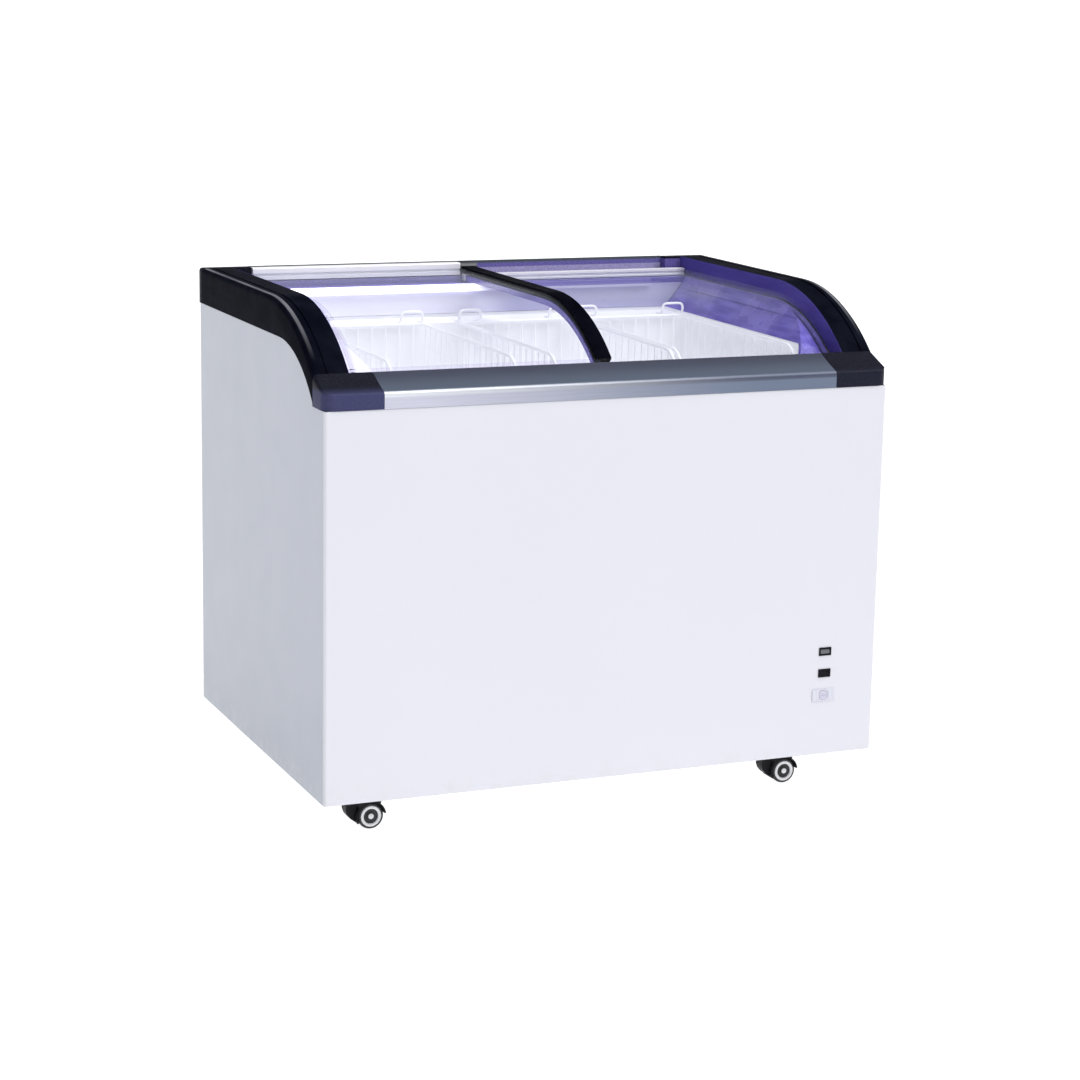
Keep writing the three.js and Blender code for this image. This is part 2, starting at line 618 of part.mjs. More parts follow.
function addLids() {
  addLid('left', UPPER_GLASS_RADIUS, LID_LEFT, UPPER_END, true, 689);
  addLid('right', LOWER_GLASS_RADIUS, LOWER_START, LID_RIGHT, false, 669);

  // rear profiles: aluminium bars with a slot for the glass in front
  const blockX = LEFT + REAR_BLOCK_LENGTH + 2;
  const upperZ = ARC_Z + UPPER_GLASS_RADIUS;
  const upperProfile = outline([
    [at(686), up(upperZ - 11)], [at(707), up(upperZ - 11)], [at(707), up(TRIM_TOP - 4)],
    [at(704), up(TRIM_TOP - 1)], [at(688), up(TRIM_TOP - 1)], [at(686), up(TRIM_TOP - 3)]]);
  const upperSlot = box(LEFT, RIGHT, at(680), at(689 + GAP),
    up(upperZ - GLASS - GAP), up(upperZ + GAP));
  const capX = UPPER_END - 30;
  add('lid_left_rear_profile', alongX(upperProfile, blockX, capX - GAP).subtract(upperSlot), aluminium);
  const capCentre = upperZ + 0.5;
  const cap = alongX(circle(at(697.5), up(capCentre), 10.5, 20), capX, UPPER_END + 4);
  const capSlot = box(capX - 1, UPPER_END + 5, at(680), at(689 + GAP),
    up(upperZ - GLASS - 3 - GAP), up(upperZ + 3.5 + GAP));
  add('lid_left_end_cap', cap.subtract(capSlot), greyPlastic);

  const lowerZ = ARC_Z + LOWER_GLASS_RADIUS;
  const lowerProfile = outline([
    [at(667), up(lowerZ - 8)], [at(682), up(lowerZ - 8)], [at(682), up(lowerZ + 5)],
    [at(667), up(lowerZ + 5)]]);
  const lowerSlot = box(LEFT, RIGHT, at(660), at(669 + GAP),
    up(lowerZ - GLASS - GAP), up(lowerZ + GAP));
  add('lid_right_rear_profile',
    alongX(lowerProfile, LOWER_START, LID_RIGHT).subtract(lowerSlot), aluminium);
}

// ---- baskets ------------------------------------------------------------------
const BASKET_WIDTH = 222;
const BASKET_FRONT = TUB_FRONT + 3;
const BASKET_BACK = TUB_BACK - 4;
const BASKET_RIM = 693;
const BASKET_FLOOR = 480;
const BASKET_WALL = 3;
const RIM_DIP = 150;             // the rim runs level up to here, then drops to the front

// side view of a basket: the rim follows the lids down at the front
function basketOutline(inset, floor, rise) {
  return outline([
    [at(BASKET_FRONT + inset), up(floor)], [at(BASKET_BACK - inset), up(floor)],
    [at(BASKET_BACK - inset), up(BASKET_RIM + rise)], [at(RIM_DIP), up(BASKET_RIM + rise)],
    [at(BASKET_FRONT + inset), up(FRONT_LEDGE + 4 + rise)]]);
}

function addBasket(name, x0) {
  const x1 = x0 + BASKET_WIDTH;
  const inside = alongX(basketOutline(BASKET_WALL, BASKET_FLOOR + BASKET_WALL, 60),
    x0 + BASKET_WALL, x1 - BASKET_WALL);
  let basket = alongX(basketOutline(0, BASKET_FLOOR, 0), x0, x1).subtract(inside);
  const hookWidth = 46;
  for (const x of [x0, x1 - hookWidth]) {
    const back = box(x, x + hookWidth, at(BASKET_BACK - BASKET_WALL), at(BASKET_BACK + 22),
      up(REAR_LEDGE + GAP), up(REAR_LEDGE + 4));
    const loop = box(x, x + hookWidth, at(BASKET_BACK - BASKET_WALL), at(BASKET_BACK),
      up(REAR_LEDGE - 2), up(BASKET_RIM + 22))
      .subtract(box(x + 5, x + hookWidth - 5, at(BASKET_BACK - 9), at(BASKET_BACK + 5),
        up(BASKET_RIM + 3), up(BASKET_RIM + 18)));
    const front = box(x, x + hookWidth, at(BASKET_FRONT - 16), at(BASKET_FRONT + BASKET_WALL),
      up(FRONT_LEDGE + GAP), up(FRONT_LEDGE + 4));
    basket = basket.add(back).add(loop).add(front);
  }
  add(name, basket, basketWhite);
}

function addBaskets() {
  addBasket('basket_left', -345);
  addBasket('basket_middle', -57);
  addBasket('basket_right', 171);
}

// ---- controls on the front panel -----------------------------------------------
function addSwitch(name, z) {
  const w = ROCKER_HOLE.w / 2 - GAP;
  const h = ROCKER_HOLE.h / 2 - GAP;
  const x = CONTROL_X;
  const face = at(STEEL_INSET);
  const bezel = box(x - w - 1.6, x + w + 1.6, face - 1.4, face - GAP / 2, up(z - h - 1.6), up(z + h + 1.6))
    .add(box(x - w, x + w, face - 1, face + 16, up(z - h), up(z + h)))
    .subtract(box(x - w + 1.2, x + w - 1.2, face - 3, face + 14, up(z - h + 1.2), up(z + h - 1.2)));
  add(`${name}_switch_frame`, bezel, blackPlastic);
  // the rocker turns about a line along X, one half of its face standing out
  const reach = h - 1.9;
  const rocker = alongX(outline([
    [face + 5, up(z + reach * 0.6)], [face - 0.2, up(z + reach)], [face - 0.6, up(z)],
    [face - 1.3, up(z - reach + 0.5)], [face - 0.9, up(z - reach)], [face + 5, up(z - reach * 0.6)]]),
  x - w + 1.6, x + w - 1.6);
  add(`${name}_rocker`, rocker, blackPlastic);
}

function addControls() {
  addSwitch('power', POWER_Z);
  addSwitch('light', LIGHT_Z);
  const face = at(STEEL_INSET);
  const plate = box(CONTROL_X - 22, CONTROL_X + 22, face - 1.2, face - GAP / 2,
    up(DIAL_Z - 11), up(DIAL_Z + 11));
  const window = alongY(circle(CONTROL_X, up(DIAL_Z), 9, 20), face - 3, face + 1);
  add('thermostat_plate', plate.subtract(window), paleGrey);
  const dial = turned([[0, 0], [4, 0], [4, 6.2], [8.4, 6.2], [8.4, 7.2], [0, 7.2]], 20);
  const slot = box(-6, 6, -0.9, 0.9, 6.6, 9);
  const upright = dial.subtract(slot).rotate([90, 0, 0]);
  add('thermostat_dial', moved(upright, CONTROL_X, face + 5.9, up(DIAL_Z)), paleGrey);
}

// ---- machine bay ------------------------------------------------------------------
const FAN_X = 345;
const FAN_Z = 145;
const FAN_FACE = 250;            // the shroud's plane, from the front

function addMachinery() {
  const can = turned([
    [0, 0], [66, 0], [76, 14], [78, 30], [78, 95], [72, 120], [52, 140], [24, 149], [0, 150],
  ], 24);
  const feet = box(-95, 95, -60, 60, -8, -3.5).add(box(-60, 60, -50, 50, -4, 4));
  add('compressor', moved(can.add(feet), 370, at(560), up(16)), blackSteel);

  // condenser: fins on a pipe that winds through them
  const finPitch = 20;
  let condenser = pipe([
    [250, at(185), up(80)], [450, at(185), up(80)], [450, at(185), up(145)],
    [250, at(185), up(145)], [250, at(185), up(210)], [450, at(185), up(210)],
  ], 5, 6);
  for (let x = 265; x <= 435; x += finPitch) {
    condenser = condenser.add(box(x - 0.6, x + 0.6, at(150), at(220), up(50), up(240)));
  }
  add('condenser', condenser, finGrey);

  const shroud = alongY(outline([
    [FAN_X - 110, up(FAN_Z - 105)], [FAN_X + 110, up(FAN_Z - 105)],
    [FAN_X + 110, up(FAN_Z + 105)], [FAN_X - 110, up(FAN_Z + 105)]]),
  at(FAN_FACE), at(FAN_FACE + 26)).subtract(
    alongY(circle(FAN_X, up(FAN_Z), 92, 32), at(FAN_FACE - 1), at(FAN_FACE + 27)));
  const strut = (angle) => box(-96, 96, -4, 4, 10, 14).rotate([90, angle, 0]);
  const motor = turned([[0, 0], [22, 0], [24, 3], [24, 34], [0, 34]], 20).rotate([90, 0, 0]);
  const carrier = moved(strut(0).add(strut(90)), FAN_X, at(FAN_FACE + 34), up(FAN_Z));
  const housed = moved(motor, FAN_X, at(FAN_FACE + 46), up(FAN_Z));
  add('fan_shroud', shroud.add(carrier).add(housed), blackSteel);

  let fan = turned([[0, 0], [17, 0], [17, 9], [12, 12], [0, 12]], 16);
  for (let blade = 0; blade < 5; blade += 1) {
    const leaf = alongZ(outline([[12, -14], [70, -30], [84, -16], [84, 12], [68, 24], [12, 12]]), 0, 1.6)
      .rotate([16, 0, 0]).translate([0, 0, 5]).rotate([0, 0, blade * 72]);
    fan = fan.add(leaf);
  }
  const upright = fan.rotate([90, 0, 0]);
  add('condenser_fan', moved(upright, FAN_X, at(FAN_FACE + 10), up(FAN_Z)), greyPlastic);

  const gland = turned([[5, -12], [9, -12], [9, 0.3], [14, 0.3], [14, 1.3], [5, 1.3], [5, -12]], 16)
    .rotate([-90, 0, 0]);
  add('cord_gland', moved(gland, GLAND.x, BACK - STEEL_INSET, up(GLAND.z)), blackPlastic);
}

// ---- casters -------------------------------------------------------------------------
const CASTER_X = 382;
const CASTER_INSET = 93;         // swivel axes from the front and back faces
const WHEEL_RADIUS = 22;
const WHEEL_TRAIL = 10;          // the hub stands this far left of the swivel axis

function casterPlate() {
  const plate = box(-28, 28, -28, 28, CASTER_HEIGHT - 2, CASTER_HEIGHT + 1.6);
  const race = turned([[0, 60], [17, 60], [17, 66], [12, 70.5], [0, 70.5]], 12);
  return plate.add(race);
}

// hooded housing: a web between the wheels, a curved guard over them and a tail
function casterHousing() {
  const hubX = -WHEEL_TRAIL;
  const hubZ = WHEEL_RADIUS;
  const guardOuter = 26;
  const guardInner = 23.2;
  const guard = new THREE.Shape();
  const from = THREE.MathUtils.degToRad(8);
  const to = THREE.MathUtils.degToRad(205);
  guard.absarc(hubX, hubZ, guardOuter, from, to, false);
  guard.absarc(hubX, hubZ, guardInner, to, from, true);
  const web = new THREE.Shape();
  web.absarc(hubX, hubZ, guardOuter, from, to, false);
  web.lineTo(hubX - 6, hubZ - 9);
  web.lineTo(hubX + 8, hubZ - 9);
  const tail = new THREE.Shape();
  tail.moveTo(hubX - 24, hubZ + 22);
  tail.lineTo(hubX - 42, hubZ + 20);
  tail.quadraticCurveTo(hubX - 45, hubZ + 2, hubX - 25, hubZ - 9);
  tail.lineTo(hubX - 24.5, hubZ);
  const half = 17;
  const hole = alongY(circle(hubX, hubZ, 4.6, 12), -8, 8);
  const boss = turned([[0, 38], [12, 38], [15, 59.4], [0, 59.4]], 12);
  const inWheels = alongY(circle(hubX, hubZ, guardInner, 24), -half - 1, half + 1);
  const coarse = { curveSegments: 10 };
  return alongY(guard, -half, half, coarse).add(alongY(web, -3.2, 3.2, coarse))
    .add(alongY(tail, -11, 11, { curveSegments: 4 }))
    .add(boss.subtract(inWheels)).subtract(hole);
}

// two wheels on one axle, turned about a line along Y
function casterWheel() {
  const half = [
    [4, 3.6], [20.6, 3.9], [WHEEL_RADIUS, 5.5], [WHEEL_RADIUS, 14], [20.4, 15.6], [0, 16]];
  const other = half.slice().reverse().map(([radius, height]) => [radius, -height]);
  return turned([...other, ...half], 20).rotate([90, 0, 0]);
}

function addCasters() {
  const rows = { front: at(CASTER_INSET), rear: BACK - CASTER_INSET };
  const columns = { left: -CASTER_X, right: CASTER_X };
  for (const [row, y] of Object.entries(rows)) {
    for (const [column, x] of Object.entries(columns)) {
      const tag = `${row}_${column}`;
      add(`caster_plate_${tag}`, moved(casterPlate(), x, y, 0), zincSteel);
      add(`caster_housing_${tag}`, moved(casterHousing(), x, y, 0), blackPlastic);
      add(`caster_wheel_${tag}`, moved(casterWheel(), x - WHEEL_TRAIL, y, WHEEL_RADIUS), blackPlastic);
    }
  }
}

addPanels();
addSideGrille();
addBase();
addTub();
addEvaporator();
addDrainPlug();
addTopFrame();
addTracks();
addInnerTrim();
addLids();
addBaskets();
addControls();
addMachinery();
addCasters();

export default freezer;
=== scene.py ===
# %% [markdown]
# # A curved-glass display chest freezer
# The cabinet, its sliding lids, baskets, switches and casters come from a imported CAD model, which
# fixes every size and place. This lesson gives that frame its looks: finishes worked out by nodes,
# and finer pieces where the CAD model is only a stand-in, such as the wire baskets.
# All lengths are in metres, with the floor at Z = 0 and the front facing -Y.

# %% Load the frame
import bmesh
import bpy
import json
import math
import numpy as np
from mathutils import Matrix, Vector


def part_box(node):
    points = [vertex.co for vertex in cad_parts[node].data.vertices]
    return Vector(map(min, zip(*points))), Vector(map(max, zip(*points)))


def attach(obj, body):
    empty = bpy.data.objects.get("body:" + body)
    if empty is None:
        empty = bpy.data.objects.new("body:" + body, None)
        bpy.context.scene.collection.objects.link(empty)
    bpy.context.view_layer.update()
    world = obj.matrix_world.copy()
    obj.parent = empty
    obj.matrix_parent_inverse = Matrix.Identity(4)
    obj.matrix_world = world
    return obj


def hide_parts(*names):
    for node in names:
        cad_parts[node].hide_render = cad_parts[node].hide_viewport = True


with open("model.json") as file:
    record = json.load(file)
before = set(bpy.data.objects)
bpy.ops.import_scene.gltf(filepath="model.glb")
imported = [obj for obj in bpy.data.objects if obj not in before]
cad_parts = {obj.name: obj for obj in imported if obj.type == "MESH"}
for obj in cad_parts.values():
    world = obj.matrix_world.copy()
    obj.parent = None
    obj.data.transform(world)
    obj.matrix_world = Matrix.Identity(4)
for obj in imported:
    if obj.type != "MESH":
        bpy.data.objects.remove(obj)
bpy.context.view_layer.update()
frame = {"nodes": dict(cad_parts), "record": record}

# %% [markdown]
# ## Camera
# The freezer is seen from the front, a little from its left and a little from above. A long lens
# keeps the upright edges nearly parallel. The camera leans by about one degree, so its axes are
# built one by one: forward from the two points, right at a right angle to it and to Z, then a small turn
# of right and up about forward.

# %% Camera
CAMERA_PLACE = Vector((-1.7740, -4.2067, 1.3766))
CAMERA_TARGET = Vector((0.0158, -0.0070, 0.4031))
CAMERA_LENS = 88.33
CAMERA_LEAN = 0.01902


def lens_axes(place, target, lean):
    """Columns right, up and backward of a camera that looks from place to target.

    right = forward x Z, up = right x forward; both are then turned by lean about forward."""
    forward = (target - place).normalized()
    level = forward.cross(Vector((0, 0, 1))).normalized()
    upright = level.cross(forward)
    right = level * math.cos(lean) + upright * math.sin(lean)
    up = upright * math.cos(lean) - level * math.sin(lean)
    return Matrix((right, up, -forward)).transposed()


camera = bpy.data.objects.new("camera", bpy.data.cameras.new("camera"))
camera.data.lens = CAMERA_LENS
camera.data.sensor_width = 36
axes = lens_axes(CAMERA_PLACE, CAMERA_TARGET, CAMERA_LEAN)
camera.matrix_world = Matrix.Translation(CAMERA_PLACE) @ axes.to_4x4()
bpy.context.scene.collection.objects.link(camera)
bpy.context.scene.camera = camera
print("camera looks down by", round(math.degrees(math.asin(axes.col[2].z)), 1), "degrees")

# %% [markdown]
# ## Numbers that change over a surface
# A finish is a Principled shader whose sockets are fed by patterns. Wiring Math nodes by hand is hard
# to read, so one small class wraps a node's output and lets Python's operators add the Math nodes.
# Every node comes from one method, which sets the node's settings first and then its sockets.

# %% Material helpers
class Value:
    """A number at each point of a surface. a + b, a * b, 1 - a and so on add one Math node each."""

    def __init__(self, finish, socket):
        self.finish = finish
        self.socket = socket

    def math(self, operation, first, second):
        return self.finish.node("ShaderNodeMath", {"operation": operation}, {0: first, 1: second})

    def __add__(self, other):
        return self.math("ADD", self, other)

    def __mul__(self, other):
        return self.math("MULTIPLY", self, other)

    def __sub__(self, other):
        return self.math("SUBTRACT", self, other)

    def __rsub__(self, other):
        return self.math("SUBTRACT", other, self)

    def __pow__(self, other):
        return self.math("POWER", self, other)

    __radd__ = __add__
    __rmul__ = __mul__


class Finish:
    """A material under construction: constants go on the shader, patterns are fed to it."""

    def __init__(self, name, **constants):
        self.material = bpy.data.materials.new(name)
        self.material.use_nodes = True
        self.tree = self.material.node_tree
        self.shader = self.tree.nodes["Principled BSDF"]
        for socket, value in constants.items():
            self.shader.inputs[socket.replace("_", " ")].default_value = value

    def node(self, kind, settings, values, output=0):
        """Adds a node, sets its settings, then fills or links its sockets. Returns one output."""
        made = self.tree.nodes.new(kind)
        for setting, value in settings.items():
            setattr(made, setting, value)
        for socket, value in values.items():
            if isinstance(value, Value):
                self.tree.links.new(value.socket, made.inputs[socket])
            else:
                made.inputs[socket].default_value = value
        return Value(self, made.outputs[output])

    def place(self, stretch=(1, 1, 1), turn=(0, 0, 0)):
        """Object coordinates in metres, stretched and turned."""
        here = self.node("ShaderNodeTexCoord", {}, {}, "Object")
        return self.node("ShaderNodeMapping", {}, {"Vector": here, "Rotation": turn, "Scale": stretch})

    def axis(self, letter):
        """One coordinate, in metres."""
        here = self.node("ShaderNodeTexCoord", {}, {}, "Object")
        return self.node("ShaderNodeSeparateXYZ", {}, {0: here}, letter)

    def noise(self, scale, detail=3.0, stretch=(1, 1, 1), turn=(0, 0, 0)):
        """Cloudy values about 0.5, with blotches about 1 / scale metres across."""
        return self.node("ShaderNodeTexNoise", {},
                         {"Vector": self.place(stretch, turn), "Scale": scale, "Detail": detail})

    def step(self, value, low, high):
        """0 below low, 1 above high, and a smooth rise between them."""
        return self.node("ShaderNodeMapRange", {"interpolation_type": "SMOOTHSTEP"},
                         {0: value, 1: low, 2: high})

    def size_of(self, value):
        """value without its sign."""
        return self.node("ShaderNodeMath", {"operation": "ABSOLUTE"}, {0: value})

    def blend(self, mask, first, second):
        """The colour first where mask is 0 and second where it is 1."""
        first, second = (c if isinstance(c, Value) else (*c, 1.0) for c in (first, second))
        return self.node("ShaderNodeMix", {"data_type": "RGBA"}, {0: mask, 6: first, 7: second}, 2)

    def relief(self, height, depth, strength=1.0):
        """Bends the normal as if the surface rose by height times depth metres."""
        normal = self.node("ShaderNodeBump", {},
                           {"Height": height, "Distance": depth, "Strength": strength}, "Normal")
        self.feed(Normal=normal)

    def feed(self, **values):
        """Links each value to the shader's socket of that name."""
        for socket, value in values.items():
            self.tree.links.new(value.socket, self.shader.inputs[socket.replace("_", " ")])

# %% [markdown]
# ## Painted steel
# The outer sheets are powder-coated white steel. Up close the coat has the soft pebbling of an orange's
# skin, a couple of millimetres across, and over a whole sheet its tone drifts very slightly. Dust
# gathers along the bottom edge. The drift feeds the colour, the pebbling feeds a Bump node. The side
# sheets have the same paint, but are painted a darker, bluer white than the front and rear ones:
# painted shade for the sides turned from the light.

# %% White sheet steel
SHEET_FOOT = 0.072
DUST_HEIGHT = 0.05


def painted_steel(name, dim, bright):
    """Powder coat that drifts between two tones."""
    paint = Finish(name, IOR=1.5, Coat_Roughness=0.12, Coat_Weight=0.25)
    drift = paint.noise(2.2, 2.0)
    tone = paint.blend(drift, dim, bright)
    low = 1 - paint.step(paint.axis("Z"), SHEET_FOOT, SHEET_FOOT + DUST_HEIGHT)
    dust = low * paint.step(paint.noise(38.0, 5.0), 0.42, 0.72) * 0.35
    paint.feed(Base_Color=paint.blend(dust, tone, (0.60, 0.60, 0.60)))
    paint.feed(Roughness=paint.noise(14.0, 4.0) * 0.14 + 0.27)
    paint.relief(paint.noise(420.0, 2.0), 0.00016, 0.5)
    return paint.material


white_paint = painted_steel("white_sheet_paint", (0.625, 0.63, 0.69), (0.655, 0.66, 0.72))
# painted shade: the side sheets have the front's white paint, painted darker and bluer for the sides turned
# from the light
side_paint_with_painted_shade = painted_steel("side_sheet_paint_with_painted_shade", (0.372, 0.405, 0.485), (0.400, 0.433, 0.517))
print("made", white_paint.name, "and", side_paint_with_painted_shade.name)

# %% [markdown]
# ## Dark trim
# The arches, corner blocks and lid bars are moulded in a near-black plastic with a cold, purplish cast.
# The mould leaves a fine leathery grain. Handling leaves faint rubbed streaks, so the gloss wanders.
# The arches' inner faces, the rear rail and the rear right block are violet where they face the tub: on
# the arches and the block a painted reflection of the lit tub, on the rail painted shade with a lilac
# stripe of painted reflection. The front corner blocks are painted paler below their shoulder, most on the
# left
# block: painted light.

# %% Dark moulded trim
def dark_trim(name, deep, light, shine, gloss=0.1):
    """Grained plastic between two tones; shine is the middle of its roughness."""
    trim = Finish(name, IOR=1.5, Specular_IOR_Level=gloss)
    clouds = trim.noise(26.0, 4.0)
    trim.feed(Base_Color=trim.blend(trim.step(clouds, 0.3, 0.75), deep, light))
    rubbed = trim.noise(60.0, 3.0, stretch=(0.2, 0.2, 1.0))
    trim.feed(Roughness=rubbed * 0.16 + (shine - 0.08))
    trim.relief(trim.noise(1500.0, 2.0), 0.00008, 0.6)
    return trim


def two_tone(trim, letter, low, high, first, second):
    """Recolours a trim: first below low, second above high on one axis."""
    mask = trim.step(trim.axis(letter), low, high)
    grain = trim.step(trim.noise(300.0, 4.0), 0.3, 0.7) * 0.35
    trim.feed(Base_Color=trim.blend(grain, trim.blend(mask, first, second), (0.03, 0.03, 0.04)))
    return trim


INK_DEEP, INK_LIGHT = (0.0025, 0.003, 0.007), (0.006, 0.007, 0.014)
INK_BLOCK = (0.006, 0.007, 0.014)
GREY_DEEP, GREY_LIGHT = (0.02, 0.02, 0.04), (0.03, 0.03, 0.06)
ARCH_INNER_FACE = 0.4402
RIDGE_STARTS, RIDGE_ENDS = 0.4865, 0.4950
BLOCK_SHOULDER = 0.733
RAIL_MIDDLE = 0.3545
RAIL_CREST = 0.8520


def arch_plastic():
    """The arches: near-black outside, a violet painted reflection of the lit tub on the upright inner face,
    a pale painted highlight along the ridge.
    """
    trim = dark_trim("dark_arch_trim", INK_DEEP, INK_LIGHT, 0.46, 0.004)
    across = trim.size_of(trim.axis("X"))
    inner = 1 - trim.step(across, ARCH_INNER_FACE, ARCH_INNER_FACE + 0.0006)
    tone = trim.blend(trim.step(trim.noise(26.0, 4.0), 0.3, 0.75), INK_DEEP, INK_LIGHT)
    # painted reflection: the inner face's streaked violet stands for the lit tub mirrored in the black
    # plastic
    streaks = trim.noise(60.0, 4.0, stretch=(1.0, 0.16, 1.0))
    violet_tone = trim.blend(streaks, (0.060, 0.042, 0.26), (0.130, 0.105, 0.42))
    # painted highlight: a pale line along the ridge, high up, where the rounded edge catches the light
    ridge = trim.step(across, RIDGE_STARTS, RIDGE_STARTS + 0.002) \
        * (1 - trim.step(across, RIDGE_ENDS - 0.003, RIDGE_ENDS))
    wear_and_highlight = ridge * trim.step(trim.axis("Z"), 0.775, 0.845) * (trim.noise(9.0, 3.0) * 0.5 + 0.1)
    trim.feed(Base_Color=trim.blend(inner, trim.blend(wear_and_highlight, tone, (0.42, 0.42, 0.47)), violet_tone))
    return trim.material


def front_block_plastic():
    """The front corner blocks: ink above the shoulder; below it painted light, a paler violet-grey that is
    palest on the left block and deeper to the right.
    """
    trim = dark_trim("dark_block_trim", GREY_DEEP, GREY_LIGHT, 0.44, 0.06)
    # painted light: the face below the shoulder is paler than the ink above it, and paler on the left block
    # than on the right one
    to_right = trim.step(trim.axis("X"), -0.4, 0.4)
    face = trim.blend(to_right, (0.052, 0.054, 0.135), (0.010, 0.011, 0.024))
    return two_tone(trim, "Z", BLOCK_SHOULDER, BLOCK_SHOULDER + 0.012, face, INK_BLOCK).material


def rear_block_plastic():
    """The rear corner blocks: ink, but violet where the right one faces the tub, a painted reflection of
    the lit tub.
    """
    trim = dark_trim("dark_rear_block_trim", GREY_DEEP, GREY_LIGHT, 0.44, 0.04)
    across, depth = trim.axis("X"), trim.axis("Y")
    # painted reflection: violet on the faces of the right block that face the lit tub
    facing_tub = (1 - trim.step(across, ARCH_INNER_FACE, ARCH_INNER_FACE + 0.0008)) \
        * trim.step(across, 0.30, 0.35) \
        * (1 - trim.step(depth, RAIL_MIDDLE, RAIL_MIDDLE + 0.001))
    face = trim.blend(facing_tub, INK_BLOCK, (0.15, 0.125, 0.42))
    return two_tone(trim, "Z", RAIL_CREST + 0.0015, RAIL_CREST + 0.003, face, INK_BLOCK).material


def rear_rail_plastic():
    """The rear rail: in front painted shade in violet with a lilac stripe of painted reflection, ink
    behind, grey-green on its crest.
    """
    trim = dark_trim("stepped_rail_trim", GREY_DEEP, GREY_LIGHT, 0.34)
    height = trim.axis("Z")
    # painted shade and painted reflection: the front, toward the tub, is violet shade with a lilac
    # reflection stripe
    stripe = trim.step(height, 0.8330, 0.8350) * (1 - trim.step(height, 0.8440, 0.8460))
    front = trim.blend(stripe, (0.19, 0.165, 0.47), (0.50, 0.47, 0.72))
    behind = trim.step(trim.axis("Y"), RAIL_MIDDLE, RAIL_MIDDLE + 0.001)
    face = trim.blend(behind, front, INK_BLOCK)
    return two_tone(trim, "Z", RAIL_CREST, RAIL_CREST + 0.002, face, (0.10, 0.12, 0.13)).material


black_trim = arch_plastic()
block_trim = front_block_plastic()
rear_block_trim = rear_block_plastic()
rail_trim = rear_rail_plastic()
bar_trim = dark_trim("dark_bar_trim", (0.0012, 0.0013, 0.0035), (0.0035, 0.0035, 0.008),
                     0.42, 0.003).material
cap_grey = dark_trim("dark_grey_cap_plastic", (0.035, 0.036, 0.045), (0.07, 0.072, 0.085),
                     0.35, 0.5).material
black_plastic = dark_trim("black_fitting_plastic", (0.006, 0.006, 0.008), (0.015, 0.015, 0.02),
                          0.45).material
grey_plastic = dark_trim("grey_fitting_plastic", (0.12, 0.125, 0.14), (0.17, 0.175, 0.19),
                         0.40, 0.4).material

# %% [markdown]
# ## Brushed aluminium
# The front rail and the lids' rear profiles are extrusions, drawn and then brushed along their length.
# One noise, stretched about eighty times along the length, makes the scratches, which are seen in
# colour, gloss and relief alike.

# %% Aluminium
def brushed(name, dark, light, metal=1.0, rough=0.26):
    """Metal brushed along X."""
    skin = Finish(name, Metallic=metal, Coat_Weight=0.15, Coat_Roughness=0.1)
    grain = skin.noise(900.0, 3.0, stretch=(0.012, 1.0, 1.0))
    bloom = skin.noise(6.0, 3.0, stretch=(0.3, 1.0, 1.0))
    skin.feed(Base_Color=skin.blend(grain * 0.6 + bloom * 0.4, dark, light))
    skin.feed(Roughness=grain * 0.16 + (rough - 0.06))
    skin.relief(grain, 0.00005, 0.5)
    return skin.material


def rail_aluminium():
    """The front rail: painted light on brushed metal. Its sloping top is darker, a painted reflection of
    the dim surround above; its rounded edge carries a painted highlight; its face is paler; edge and face
    fade to the right.
    """
    skin = Finish("front_rail_aluminium", Metallic=0.35, Coat_Weight=0.1, Coat_Roughness=0.2)
    # painted light: the face and the edge highlight are bright at the left end and darker to the right
    along = skin.step(skin.axis("X"), -0.45, 0.30)
    height = skin.axis("Z")
    grain = skin.noise(900.0, 3.0, stretch=(0.012, 1.0, 1.0))
    face = skin.blend(along, (0.62, 0.62, 0.73), (0.135, 0.175, 0.26))
    # painted highlight along the rounded edge
    edge = skin.blend(along, (0.80, 0.82, 0.88), (0.060, 0.072, 0.120))
    # painted reflection: the sloping top is darker, mirroring the dim surround above
    top = skin.blend(skin.step(height, 0.738, 0.759), (0.105, 0.135, 0.19), (0.034, 0.040, 0.072))
    body = skin.blend(skin.step(height, 0.7265, 0.7300), face, edge)
    body = skin.blend(skin.step(height, 0.7350, 0.7385), body, top)
    skin.feed(Base_Color=skin.blend(grain * 0.35, body, (0.10, 0.11, 0.15)))
    skin.feed(Roughness=grain * 0.16 + 0.34)
    skin.relief(grain, 0.00005, 0.5)
    return skin.material


rail_metal = rail_aluminium()
profile_metal = brushed("lid_profile_aluminium", (0.84, 0.83, 0.88), (0.97, 0.96, 0.99), 0.15, 0.40)
zinc_steel = brushed("zinc_plated_steel", (0.42, 0.43, 0.45), (0.60, 0.61, 0.62), 1.0, 0.34)

# %% [markdown]
# ## Violet inner trim
# Inside the right arch a glossy violet plastic wall slopes down to the tub. Long soft streaks that follow
# the slope are painted into its colour, a painted reflection of the lamp and the white tub, with paler
# blotches where frost has hazed it. The left wall has the same shape in white.

